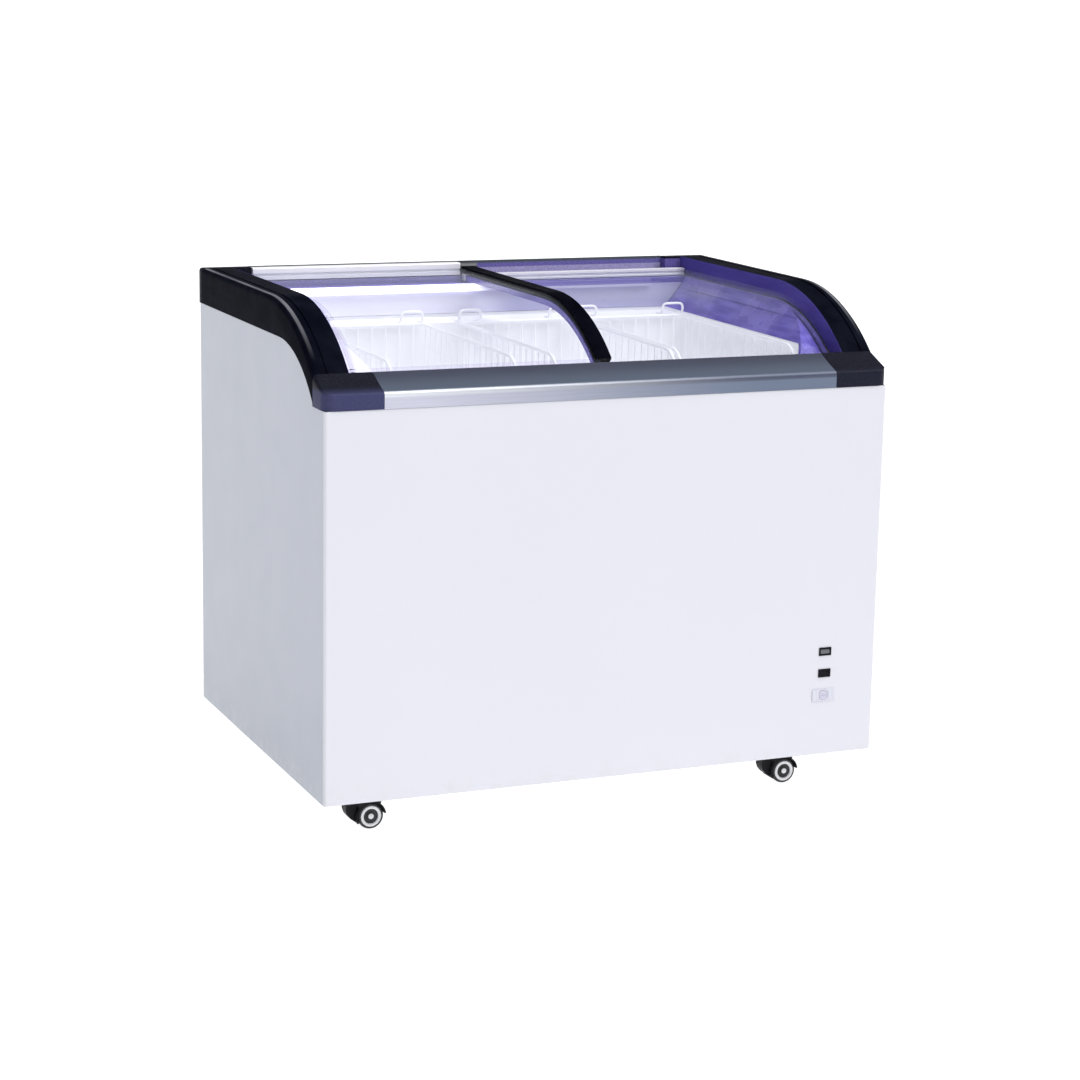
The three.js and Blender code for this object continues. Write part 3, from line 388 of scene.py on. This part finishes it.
# %% Violet plastic
def violet_plastic():
    """Violet with streaks of painted reflection, and paler haze that is also rougher."""
    skin = Finish("violet_inner_trim", IOR=1.5, Specular_IOR_Level=0.25)
    streaks = skin.noise(70.0, 5.0, stretch=(1.0, 0.16, 1.0), turn=(0.35, 0, 0))
    haze = skin.step(skin.noise(9.0, 3.0), 0.45, 0.75)
    # painted reflection: the streaks lighten the violet, as if mirroring the lamp and the white tub
    body = skin.blend(skin.step(streaks, 0.35, 0.7), (0.115, 0.085, 0.44), (0.210, 0.170, 0.64))
    skin.feed(Base_Color=skin.blend(haze * 0.5, body, (0.42, 0.37, 0.78)))
    skin.feed(Roughness=haze * 0.2 + streaks * 0.12 + 0.12)
    skin.relief(streaks, 0.0004, 0.35)
    return skin.material


violet = violet_plastic()

# %% [markdown]
# ## White mouldings, wire enamel and the lamp
# The tub is vacuum-formed from white sheet: smooth, a little wavy, and cold-looking where frost has
# settled. The basket wires are dipped in white enamel, which pools in soft beads. Light bounces about in
# a lit white tub, and a faint glow in the tub's, the left wall's and the wires' finishes stands for it.
# The lamp shines in its left half only.

# %% Whites
LAMP_CREST = 0.8135
TICK_PITCH = 0.0026


def white_moulding(name, cool, warm, wave, glow=0.0):
    """Formed plastic between two whites, with waves of wave metres depth and a glow of the cool one."""
    skin = Finish(name, IOR=1.49, Emission_Strength=glow)
    frost = skin.noise(16.0, 6.0)
    skin.feed(Base_Color=skin.blend(frost, cool, warm))
    skin.feed(Roughness=skin.noise(45.0, 4.0) * 0.25 + 0.22)
    skin.relief(skin.noise(12.0, 2.0) + skin.noise(300.0, 2.0) * 0.05, wave, 0.4)
    if glow:
        skin.shader.inputs["Emission Color"].default_value = (*cool, 1.0)
    return skin.material


tub_white = white_moulding("tub_white", (0.80, 0.80, 0.83), (0.86, 0.86, 0.88), 0.002, 0.20)
trim_white = white_moulding("trim_white", (0.80, 0.80, 0.88), (0.87, 0.87, 0.92), 0.001, 0.14)
grille_white = white_moulding("grille_white", (0.78, 0.79, 0.82), (0.84, 0.85, 0.87), 0.0006)
wire_enamel = white_moulding("wire_enamel", (0.80, 0.80, 0.84), (0.86, 0.86, 0.89), 0.0008, 0.24)
ring_white = white_moulding("caster_ring_white", (0.80, 0.80, 0.84), (0.88, 0.88, 0.90), 0.0004)
pale_plastic = white_moulding("pale_plate", (0.50, 0.49, 0.60), (0.56, 0.55, 0.66), 0.0004)


def rear_wall_plastic():
    """The wall behind the lamp: white to the left and painted shade in lilac to the right, violet painted
    shade in a band below the crest, and a violet painted shadow on top.
    """
    skin = Finish("rear_wall_white", IOR=1.49)
    height = skin.axis("Z")
    # painted shadow: violet above the lamp's crest, under the rail
    stripe = skin.step(height, LAMP_CREST - 0.001, LAMP_CREST)
    # painted shade: violet blotches in the band just below the crest
    shade = skin.step(height, 0.790, 0.812) * skin.noise(4.0, 2.0, stretch=(1, 1, 4))
    # painted shade: the right half, where the lamp is off, is lilac instead of white
    to_right = skin.step(skin.axis("X"), -0.02, 0.10)
    base = skin.blend(to_right, (0.80, 0.79, 0.90), (0.42, 0.41, 0.62))
    tone = skin.blend(shade, base, (0.38, 0.34, 0.68))
    skin.feed(Base_Color=skin.blend(stripe, tone, (0.10, 0.07, 0.38)))
    skin.feed(Roughness=skin.noise(45.0, 4.0) * 0.25 + 0.2)
    return skin.material


rear_wall_white = rear_wall_plastic()


def ticked_plate():
    """The thermostat's plate: pale plastic with a row of short printed ticks."""
    skin = Finish("ticked_plate", IOR=1.49, Roughness=0.4)
    across = skin.node("ShaderNodeMath", {"operation": "PINGPONG"},
                       {0: skin.axis("X"), 1: TICK_PITCH / 2})
    tick = 1 - skin.step(across, 0.00025, 0.00045)
    wear_and_highlight = skin.noise(400.0, 3.0)
    tone = skin.blend(wear_and_highlight, (0.62, 0.63, 0.70), (0.68, 0.69, 0.75))
    skin.feed(Base_Color=skin.blend(tick * 0.6, tone, (0.30, 0.29, 0.44)))
    skin.feed(Roughness=wear_and_highlight * 0.2 + 0.3)
    skin.relief(wear_and_highlight, 0.0001, 0.4)
    return skin.material


plate_ticked = ticked_plate()


def lamp_diffuser():
    """The lamp shines in its left part and is off in its right part, which is painted lilac as painted
    shade, with a violet painted shadow above the crest.
    """
    skin = Finish("lamp_diffuser", IOR=1.49, Roughness=0.3, Emission_Strength=2.0)
    lit = 1 - skin.step(skin.axis("X"), -0.02, 0.04)
    ripple = skin.noise(30.0, 2.0) * 0.1
    # painted shade in the unlit part: lilac below the crest, a violet painted shadow above it
    stripe = skin.step(skin.axis("Z"), LAMP_CREST - 0.0005, LAMP_CREST + 0.0005)
    unlit = skin.blend(stripe, (0.46, 0.45, 0.66), (0.11, 0.085, 0.38))
    skin.feed(Base_Color=skin.blend(lit, unlit, (0.95, 0.95, 1.0)))
    skin.feed(Emission_Color=skin.blend(lit * (1 - ripple), (0.02, 0.018, 0.035), (1.0, 1.0, 1.0)))
    return skin.material


lamp_glow = lamp_diffuser()

# %% [markdown]
# ## Lid glass
# Thin tempered glass shows mostly what is behind it, and mirrors the room only at a low angle. A full
# refracting shader would block the light that falls into the tub, so the pane mixes a clear shader with
# a glossy one. The glossy share grows with the angle, and faint wiped smears vary it. The lids' edge
# strips and shoes are clear too.

# %% Glass
def clear_pane(name, tint, veil, haze):
    """Share of mirror = veil + 0.2 facing^5 + smears, with facing = 1 at a grazing angle."""
    pane = Finish(name, Roughness=haze, IOR=1.5)
    pane.shader.inputs["Base Color"].default_value = (0.55, 0.58, 0.66, 1.0)
    clear = pane.node("ShaderNodeBsdfTransparent", {}, {"Color": (*tint, 1.0)})
    facing = pane.node("ShaderNodeLayerWeight", {}, {"Blend": 0.5}, "Facing")
    smears = pane.noise(11.0, 5.0, stretch=(1.0, 0.35, 1.0))
    share = facing ** 5 * 0.2 + pane.step(smears, 0.45, 0.8) * 0.02 + veil
    mixed = pane.node("ShaderNodeMixShader", {},
                      {0: share, 1: clear, 2: Value(pane, pane.shader.outputs[0])})
    output = pane.tree.nodes["Material Output"]
    pane.tree.links.new(mixed.socket, output.inputs["Surface"])
    return pane.material


glass = clear_pane("lid_glass", (0.985, 0.99, 1.0), 0.012, 0.03)
clear_plastic = clear_pane("clear_lid_edging", (0.965, 0.955, 0.99), 0.012, 0.25)

# %% [markdown]
# ## Hidden metals, rubber and foam
# Behind the grille and the louvres sit a black-painted compressor, aluminium fins and copper pipe. The
# tyres are grey-black polyurethane with dust on the tread.

# %% Machine bay and caster finishes
def mottled(name, dark, light, scale, rough, metal=0.0, depth=0.0004):
    """A rough surface whose tone changes in blotches."""
    skin = Finish(name, Metallic=metal)
    blotch = skin.noise(scale, 5.0)
    skin.feed(Base_Color=skin.blend(skin.step(blotch, 0.3, 0.7), dark, light))
    skin.feed(Roughness=blotch * 0.2 + (rough - 0.1))
    skin.relief(skin.noise(scale * 6, 3.0), depth, 0.5)
    return skin.material


compressor_black = mottled("compressor_paint", (0.012, 0.012, 0.013), (0.03, 0.03, 0.032), 40.0, 0.4)
fin_metal = mottled("condenser_fins", (0.30, 0.31, 0.32), (0.5, 0.51, 0.52), 60.0, 0.4, 1.0)
copper = mottled("copper_pipe", (0.42, 0.17, 0.09), (0.62, 0.30, 0.18), 50.0, 0.35, 1.0)
foam_yellow = mottled("insulation_foam", (0.62, 0.50, 0.26), (0.76, 0.66, 0.40), 90.0, 0.9)
tyre = mottled("caster_tyre", (0.012, 0.012, 0.014), (0.04, 0.04, 0.045), 120.0, 0.6)
print("materials:", len(bpy.data.materials))

# %% [markdown]
# ## Which node wears what
# The CAD nodes are grouped by finish, and each takes its group's material.

# %% Finishes by node
CORNERS = [f"{row}_{side}" for row in ("front", "rear") for side in ("left", "right")]
WEARS = {
    white_paint: ["front_panel", "rear_panel"],
    side_paint_with_painted_shade: ["side_panel_left", "side_panel_right"],
    grille_white: ["side_grille"],
    tub_white: ["inner_liner"],
    rear_wall_white: ["inner_trim_rear"],
    lamp_glow: ["lamp_strip"],
    zinc_steel: ["base_pan"] + [f"caster_plate_{c}" for c in CORNERS],
    foam_yellow: ["foam_insulation"],
    copper: ["evaporator_coil"],
    black_trim: ["side_arch_left", "side_arch_right"],
    bar_trim: ["lid_left_bar"],
    rail_trim: ["rear_rail"],
    block_trim: ["front_corner_left", "front_corner_right"],
    rear_block_trim: ["rear_corner_left", "rear_corner_right"],
    rail_metal: ["front_rail"],
    profile_metal: ["lid_left_rear_profile", "lid_right_rear_profile"],
    violet: ["inner_trim_right", "lid_right_bar"],
    trim_white: ["inner_trim_left"],
    clear_plastic: ["lid_left_edge", "lid_right_edge", "lid_left_shoe", "lid_right_shoe"],
    black_plastic: ["front_track", "power_switch_frame", "power_rocker", "light_switch_frame",
                    "cord_gland"]
    + [f"caster_housing_{c}" for c in CORNERS],
    cap_grey: ["lid_left_end_cap"],
    grey_plastic: ["light_rocker", "condenser_fan", "drain_plug"],
    plate_ticked: ["thermostat_plate"],
    pale_plastic: ["thermostat_dial"],
    glass: ["lid_left_glass", "lid_right_glass"],
    wire_enamel: ["basket_left", "basket_middle", "basket_right"],
    compressor_black: ["compressor", "fan_shroud"],
    fin_metal: ["condenser"],
    tyre: [f"caster_wheel_{c}" for c in CORNERS],
}
finish_of = {node: material for material, nodes in WEARS.items() for node in nodes}
for node, piece in frame["nodes"].items():
    piece.data.materials.clear()
    piece.data.materials.append(finish_of[node])
print("finished CAD nodes:", len(finish_of))

# %% [markdown]
# ## Softened copies
# A CAD solid has knife-sharp edges and flat facets. Real sheet and mouldings have small radii that catch
# a thin line of light. Most visible nodes are therefore copied: the triangles are joined, flat areas
# are merged, faces are shaded smooth, and a Bevel modifier rounds the edges. The copy stands for the
# node.

# %% Softened copies
body_with = {node: body for body, nodes in frame["record"]["behaviour"]["bodies"].items()
             for node in nodes}
CREASE = math.radians(32)


def joined_copy(node):
    """A bmesh of the node with its doubled corners merged and its flat areas made single faces."""
    shape = bmesh.new()
    shape.from_mesh(frame["nodes"][node].data)
    bmesh.ops.remove_doubles(shape, verts=shape.verts, dist=1e-6)
    bmesh.ops.dissolve_limit(shape, angle_limit=math.radians(0.4), verts=shape.verts,
                             edges=shape.edges)
    return shape


def stand_in(piece, nodes, material):
    """Puts a finished piece in the scene in place of CAD nodes, on the same body."""
    bpy.context.scene.collection.objects.link(piece)
    piece.data.materials.clear()
    piece.data.materials.append(material)
    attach(piece, body_with[nodes[0]])
    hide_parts(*nodes)
    return piece


def soften(node, width):
    """A smooth copy of the node whose edges sharper than CREASE are rounded by width."""
    shape = joined_copy(node)
    for face in shape.faces:
        face.smooth = True
    for edge in shape.edges:
        edge.smooth = edge.is_manifold and edge.calc_face_angle(0.0) < CREASE
    mesh = bpy.data.meshes.new(f"{node}_soft")
    shape.to_mesh(mesh)
    shape.free()
    piece = bpy.data.objects.new(f"{node}_soft", mesh)
    edge_round = piece.modifiers.new("edges", "BEVEL")
    edge_round.width = width
    edge_round.segments = 2
    edge_round.limit_method = "ANGLE"
    edge_round.angle_limit = CREASE
    edge_round.harden_normals = True
    return stand_in(piece, [node], finish_of[node])


SOFT_EDGES = {
    0.0004: ["front_panel", "side_panel_left", "side_panel_right", "rear_panel", "side_grille",
             "front_rail", "rear_rail", "front_track", "lid_left_rear_profile",
             "lid_right_rear_profile", "thermostat_plate", "lamp_strip"],
    0.0008: ["side_arch_left", "side_arch_right", "lid_left_bar", "lid_left_edge", "lid_right_bar",
             "lid_right_edge", "lid_left_shoe", "lid_right_shoe", "lid_left_end_cap"],
    0.0012: ["front_corner_left", "front_corner_right", "rear_corner_left", "rear_corner_right",
             "inner_trim_left", "inner_trim_right", "inner_trim_rear", "inner_liner"],
    0.0003: ["power_switch_frame", "light_switch_frame", "power_rocker", "light_rocker",
             "lid_left_glass", "lid_right_glass"],
    0.0010: [f"caster_housing_{c}" for c in CORNERS],
}
for width, nodes in SOFT_EDGES.items():
    for node in nodes:
        soften(node, width)
print("softened", sum(len(nodes) for nodes in SOFT_EDGES.values()), "nodes")

# %% [markdown]
# ## Tubes along paths
# A bent wire is a circle carried along a path. The path is a polyline whose corners are replaced by
# arcs. At each of its points two directions at right angles to the path carry the circle: one is the
# path's direction crossed with a fixed reference direction, the other is at right angles to both.

# %% Wire helpers
def bent(corners, radius, closed=False, steps=5):
    """The polyline through corners with each corner cut back by radius and rounded.

    The rounding is the curve (1-t)^2 a + 2t(1-t) b + t^2 c, where b is the corner and a and c lie radius
    before and after it."""
    corners = np.asarray(corners, float)
    before, after = np.roll(corners, 1, axis=0), np.roll(corners, -1, axis=0)

    def towards(other):
        gap = other - corners
        length = np.linalg.norm(gap, axis=1, keepdims=True)
        return corners + gap / np.maximum(length, 1e-9) * np.minimum(radius, length * 0.45)

    t = np.linspace(0, 1, steps)[None, :, None]
    a, b, c = towards(before)[:, None], corners[:, None], towards(after)[:, None]
    rounded = (1 - t) ** 2 * a + 2 * t * (1 - t) * b + t ** 2 * c
    if closed:
        return rounded.reshape(-1, 3)
    return np.vstack([corners[:1], rounded[1:-1].reshape(-1, 3), corners[-1:]])


def tube(path, radius, reference, sides=8, closed=False):
    """Points and faces of a circle of that radius carried along path.

    point(i, j) = path(i) + radius (cos(angle j) n(i) + sin(angle j) m(i)), with n = direction x
    reference and m = n x direction. Open ends get a flat cap."""
    path = np.asarray(path, float)
    if closed:
        run = np.roll(path, -1, axis=0) - np.roll(path, 1, axis=0)
    else:
        run = np.gradient(path, axis=0)
    run /= np.linalg.norm(run, axis=1, keepdims=True)
    n = np.cross(run, reference)
    n /= np.linalg.norm(n, axis=1, keepdims=True)
    m = np.cross(n, run)
    angle = np.arange(sides) * 2 * math.pi / sides
    ring = np.cos(angle)[None, :, None] * n[:, None] + np.sin(angle)[None, :, None] * m[:, None]
    points = (path[:, None] + radius * ring).reshape(-1, 3)
    count = len(path)
    i, j = np.meshgrid(np.arange(count if closed else count - 1), np.arange(sides), indexing="ij")
    i, j = i.ravel(), j.ravel()
    k, l = (i + 1) % count, (j + 1) % sides
    faces = np.stack([i * sides + j, k * sides + j, k * sides + l, i * sides + l], axis=1).tolist()
    if not closed:
        faces.append(list(range(sides)))
        faces.append([(count - 1) * sides + s for s in reversed(range(sides))])
    return points, faces


def assembled(name, parts):
    """One mesh object from a list of (points, faces), its faces turned to point outwards."""
    points, faces, used = [], [], 0
    for part_points, part_faces in parts:
        points.append(part_points)
        faces.extend([[corner + used for corner in face] for face in part_faces])
        used += len(part_points)
    mesh = bpy.data.meshes.new(name)
    mesh.from_pydata(np.vstack(points).tolist(), [], faces)
    shape = bmesh.new()
    shape.from_mesh(mesh)
    bmesh.ops.recalc_face_normals(shape, faces=shape.faces)
    for edge in shape.edges:
        edge.smooth = edge.calc_face_angle(0.0) < math.radians(50)
    for face in shape.faces:
        face.smooth = True
    shape.to_mesh(mesh)
    shape.free()
    mesh.update()
    return bpy.data.objects.new(name, mesh)

# %% [markdown]
# ## Wire baskets
# The CAD baskets are open boxes with solid walls. The real ones are welded from wire: a thick rim that
# dips at the front to clear the curved lid, a middle band and a bottom frame, U-shaped wires running
# front to back and side to side, and at each rear end a raised loop that hangs on the tub's ledge.

# %% Wire baskets
# radii of the wires
RIM_WIRE = 0.0030
BAND_WIRE = 0.0022
MESH_WIRE = 0.0014
HOOK_WIRE = 0.0022
# heights above the floor
REAR_RIM = SHEET_FOOT + 0.693
FRONT_RIM = SHEET_FOOT + 0.654
REAR_LEDGE = SHEET_FOOT + 0.690
FRONT_LEDGE = SHEET_FOOT + 0.650
# how a hook clears the ledge and the CAD box, and how far apart its two legs stand
LEDGE_GAP = 0.0004
HOOK_INSET = 0.0024
HOOK_SPREAD = 0.0412
DIP_STARTS = -0.207
BAND_DROP = 0.100
CROSS_WIRES, LONG_WIRES = 17, 8
X_AXIS, Y_AXIS, Z_AXIS = np.eye(3)
# a loop runs along all three axes, so its reference direction is parallel to none of them
LOOP_REFERENCE = (0.31, 0.95, 0.02)


def basket_frame(node):
    """The basket's sides, its front and back without the hooks, its floor and its loops' top."""
    low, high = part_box(node)
    corner = np.array([v.co for v in frame["nodes"][node].data.vertices])
    floor = corner[corner[:, 2] < low.z + 0.001]
    return low.x, high.x, floor[:, 1].min(), floor[:, 1].max(), low.z, high.z


def rim_height(y, front):
    """Level at the back, then straight down to the front."""
    slope = np.clip((DIP_STARTS - y) / (DIP_STARTS - front), 0, 1)
    return float(REAR_RIM + (FRONT_RIM - REAR_RIM) * slope) - RIM_WIRE


def wire_basket(node):
    """Rim, two bands, wires both ways, and at each end a loop at the back and a shoe in front."""
    x0, x1, y0, y1, floor, loop_top = basket_frame(node)
    r = RIM_WIRE
    xa, xb, ya, yb = x0 + r, x1 - r, y0 + r, y1 - r
    front, rear = FRONT_RIM - r, REAR_RIM - r
    rim = bent([(xa, ya, front), (xb, ya, front), (xb, DIP_STARTS, rear), (xb, yb, rear),
                (xa, yb, rear), (xa, DIP_STARTS, rear)], 0.014, closed=True)
    parts = [tube(rim, r, Z_AXIS, 10, closed=True)]

    inner = r + BAND_WIRE
    bx0, bx1, by0, by1 = xa + inner, xb - inner, ya + inner, yb - inner
    for height in (floor + 0.006, rear - BAND_DROP):
        loop = bent([(bx0, by0, height), (bx1, by0, height), (bx1, by1, height),
                     (bx0, by1, height)], 0.012, closed=True)
        parts.append(tube(loop, BAND_WIRE, Z_AXIS, 8, closed=True))

    ground = floor + MESH_WIRE
    for x in np.linspace(bx0 + 0.012, bx1 - 0.012, LONG_WIRES):
        path = bent([(x, ya, front), (x, ya + 0.004, ground), (x, yb - 0.004, ground),
                     (x, yb, rear)], 0.012)
        parts.append(tube(path, MESH_WIRE, X_AXIS, 6))
    for y in np.linspace(by0 + 0.014, by1 - 0.014, CROSS_WIRES):
        top = rim_height(y, y0)
        path = bent([(xa, y, top), (xa + 0.004, y, ground + 0.003), (xb - 0.004, y, ground + 0.003),
                     (xb, y, top)], 0.012)
        parts.append(tube(path, MESH_WIRE, Y_AXIS, 6))

    hook_low, hook_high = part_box(node)
    rear_rest = REAR_LEDGE + LEDGE_GAP + HOOK_WIRE
    front_rest = FRONT_LEDGE + LEDGE_GAP + HOOK_WIRE
    peak = loop_top - HOOK_INSET
    for left in (x0 + HOOK_INSET, x1 - HOOK_INSET - HOOK_SPREAD):
        right = left + HOOK_SPREAD
        loop = bent([(left, hook_high.y - 0.002, rear_rest), (left, yb + 0.001, rear_rest),
                     (left, yb, peak), (right, yb, peak), (right, yb + 0.001, rear_rest),
                     (right, hook_high.y - 0.002, rear_rest)], 0.009)
        parts.append(tube(loop, HOOK_WIRE, LOOP_REFERENCE, 8))
        toe = hook_low.y + HOOK_INSET
        shoe = bent([(left, ya, front_rest), (left, toe, front_rest), (right, toe, front_rest),
                     (right, ya, front_rest)], 0.006)
        parts.append(tube(shoe, HOOK_WIRE, Z_AXIS, 8))
    return stand_in(assembled(f"wire_{node}", parts), [node], wire_enamel)


for node in ("basket_left", "basket_middle", "basket_right"):
    basket = wire_basket(node)
    print(basket.name, len(basket.data.polygons), "faces")

# %% [markdown]
# ## Turned pieces
# A caster's wheels, rings and caps are profiles turned about the axle. Each profile is a list of radius
# and offset pairs, and the surface is that list carried round a circle.

# %% Caster wheels
def turned(profile, centre, segments=48):
    """Points and faces of a profile turned about a line along Y through centre.

    point(i, j) = centre + (r_i cos a_j, o_i, r_i sin a_j), with r the radius and o the offset."""
    profile = np.asarray(profile, float)
    angle = np.arange(segments) * 2 * math.pi / segments
    r, offset = profile[:, :1], profile[:, 1:]
    points = np.stack([r * np.cos(angle), np.broadcast_to(offset, (len(profile), segments)),
                       r * np.sin(angle)], axis=-1).reshape(-1, 3) + np.asarray(centre)
    i, j = np.meshgrid(np.arange(len(profile) - 1), np.arange(segments), indexing="ij")
    i, j = i.ravel(), j.ravel()
    l = (j + 1) % segments
    faces = np.stack([i * segments + j, i * segments + l, (i + 1) * segments + l,
                      (i + 1) * segments + j], axis=1).tolist()
    faces.append(list(range(segments)))
    faces.append([(len(profile) - 1) * segments + s for s in reversed(range(segments))])
    return points, faces


def round_edge(r, offset, radius, turn_from, turn_to, steps=5):
    """A quarter-round of the profile about (r, offset), in degrees from the radial direction."""
    a = np.radians(np.linspace(turn_from, turn_to, steps))
    return np.stack([r + radius * np.cos(a), offset + radius * np.sin(a)], axis=1)


def caster_wheel(corner):
    """A twin wheel turned from one mirrored profile, with a white ring and a cap on either side."""
    node = f"caster_wheel_{corner}"
    low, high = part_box(node)
    centre = (low + high) / 2
    half = (high.y - low.y) / 2
    big = (high.z - low.z) / 2
    hub = np.array([[0.0038, 0.0], [0.0038, 0.0036], [0.016, 0.0036]])
    inside = round_edge(big - 0.0022, 0.0060, 0.0022, -90, 0)
    outside = round_edge(big - 0.0030, half - 0.0044, 0.0030, 0, 90)
    face = np.array([[0.0165, half - 0.0012], [0.0160, half - 0.0030], [0.0072, half - 0.0030],
                     [0.0066, half - 0.0010], [0.0010, half - 0.0010]])
    profile = np.vstack([hub, inside, outside, face])
    both = np.vstack([(profile * [1, -1])[::-1], profile[1:]])
    wheel = stand_in(assembled(f"turned_{node}", [turned(both, centre)]), [node], tyre)
    trims = []
    for side in (-1, 1):
        ring = [[0.0126, side * (half - 0.0032)], [0.0126, side * (half - 0.0010)],
                [0.0134, side * (half - 0.0002)], [0.0168, side * (half - 0.0002)],
                [0.0176, side * (half - 0.0010)], [0.0176, side * (half - 0.0032)]]
        cap = [[0.0046, side * (half - 0.0014)], [0.0046, side * (half - 0.0004)],
               [0.0038, side * (half + 0.0002)], [0.0010, side * (half + 0.0004)]]
        trims += [turned(ring, centre), turned(cap, centre)]
    rings = assembled(f"caster_rings_{corner}", trims)
    bpy.context.scene.collection.objects.link(rings)
    rings.data.materials.append(ring_white)
    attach(rings, body_with[node])
    return wheel


for corner in CORNERS:
    caster_wheel(corner)
print("caster wheels turned")

# %% [markdown]
# ## Floor, sky and lamps
# The freezer stands on a plain pale floor under soft studio light: a very broad ceiling light, a small
# lamp in front for the highlights on the curved trim, and a surround that is pale at the horizon and dim
# above, which keeps the dark mouldings dark. The floor gives off light too, like a lit table, so hardly
# any shadow falls on it.

# %% Stage
floor_mesh = bpy.data.meshes.new("floor")
floor_mesh.from_pydata([(-30, -30, 0), (30, -30, 0), (30, 30, 0), (-30, 30, 0)], [], [(0, 1, 2, 3)])
floor = bpy.data.objects.new("floor", floor_mesh)
bpy.context.scene.collection.objects.link(floor)
paper = Finish("studio_floor", Roughness=0.9)
paper.shader.inputs["Specular IOR Level"].default_value = 0.1
paper.shader.inputs["Emission Strength"].default_value = 0.97
paper.feed(Base_Color=paper.blend(paper.noise(0.8), (0.34, 0.34, 0.345), (0.36, 0.36, 0.36)))
paper.feed(Emission_Color=paper.blend(paper.noise(0.8), (0.97, 0.97, 0.975), (1.0, 1.0, 1.0)))
floor.data.materials.append(paper.material)


PALE_UP_TO, DIM_FROM = 0.06, 0.17


def surround(high, low):
    """Surround light: the tone low below PALE_UP_TO and high above DIM_FROM, in sines of the elevation."""
    world = bpy.data.worlds.new("surround")
    world.use_nodes = True
    tree = world.node_tree
    place = tree.nodes.new("ShaderNodeTexCoord")
    split = tree.nodes.new("ShaderNodeSeparateXYZ")
    tree.links.new(place.outputs["Generated"], split.inputs[0])
    spread = tree.nodes.new("ShaderNodeMapRange")
    spread.inputs[1].default_value = PALE_UP_TO
    spread.inputs[2].default_value = DIM_FROM
    tree.links.new(split.outputs["Z"], spread.inputs[0])
    tone = tree.nodes.new("ShaderNodeMix")
    tone.data_type = "RGBA"
    tone.inputs[6].default_value = (*low, 1)
    tone.inputs[7].default_value = (*high, 1)
    tree.links.new(spread.outputs[0], tone.inputs[0])
    tree.links.new(tone.outputs[2], tree.nodes["Background"].inputs["Color"])
    bpy.context.scene.world = world


surround((0.16, 0.165, 0.18), (1.1, 1.1, 1.1))

# one very broad overhead source, as through a whole ceiling of diffusers
ceiling = bpy.data.objects.new("ceiling_light", bpy.data.lights.new("ceiling_light", "SUN"))
ceiling.data.energy = 3.3
ceiling.data.angle = math.radians(60)
ceiling.rotation_mode = "QUATERNION"
ceiling.rotation_quaternion = Vector((-0.30, 0.35, -0.89)).to_track_quat("-Z", "Y")
bpy.context.scene.collection.objects.link(ceiling)


def softbox(name, place, target, size, power):
    """A square area lamp of that size at place, turned to shine on target."""
    lamp = bpy.data.objects.new(name, bpy.data.lights.new(name, "AREA"))
    lamp.data.size = size
    lamp.data.energy = power
    lamp.location = place
    lamp.rotation_mode = "QUATERNION"
    lamp.rotation_quaternion = (Vector(target) - Vector(place)).to_track_quat("-Z", "Y")
    bpy.context.scene.collection.objects.link(lamp)


softbox("front_lamp", (-2.6, -3.6, 3.2), (-0.2, 0.0, 0.7), 0.8, 14)
bpy.context.scene.view_settings.view_transform = "Standard"
print("stage set")
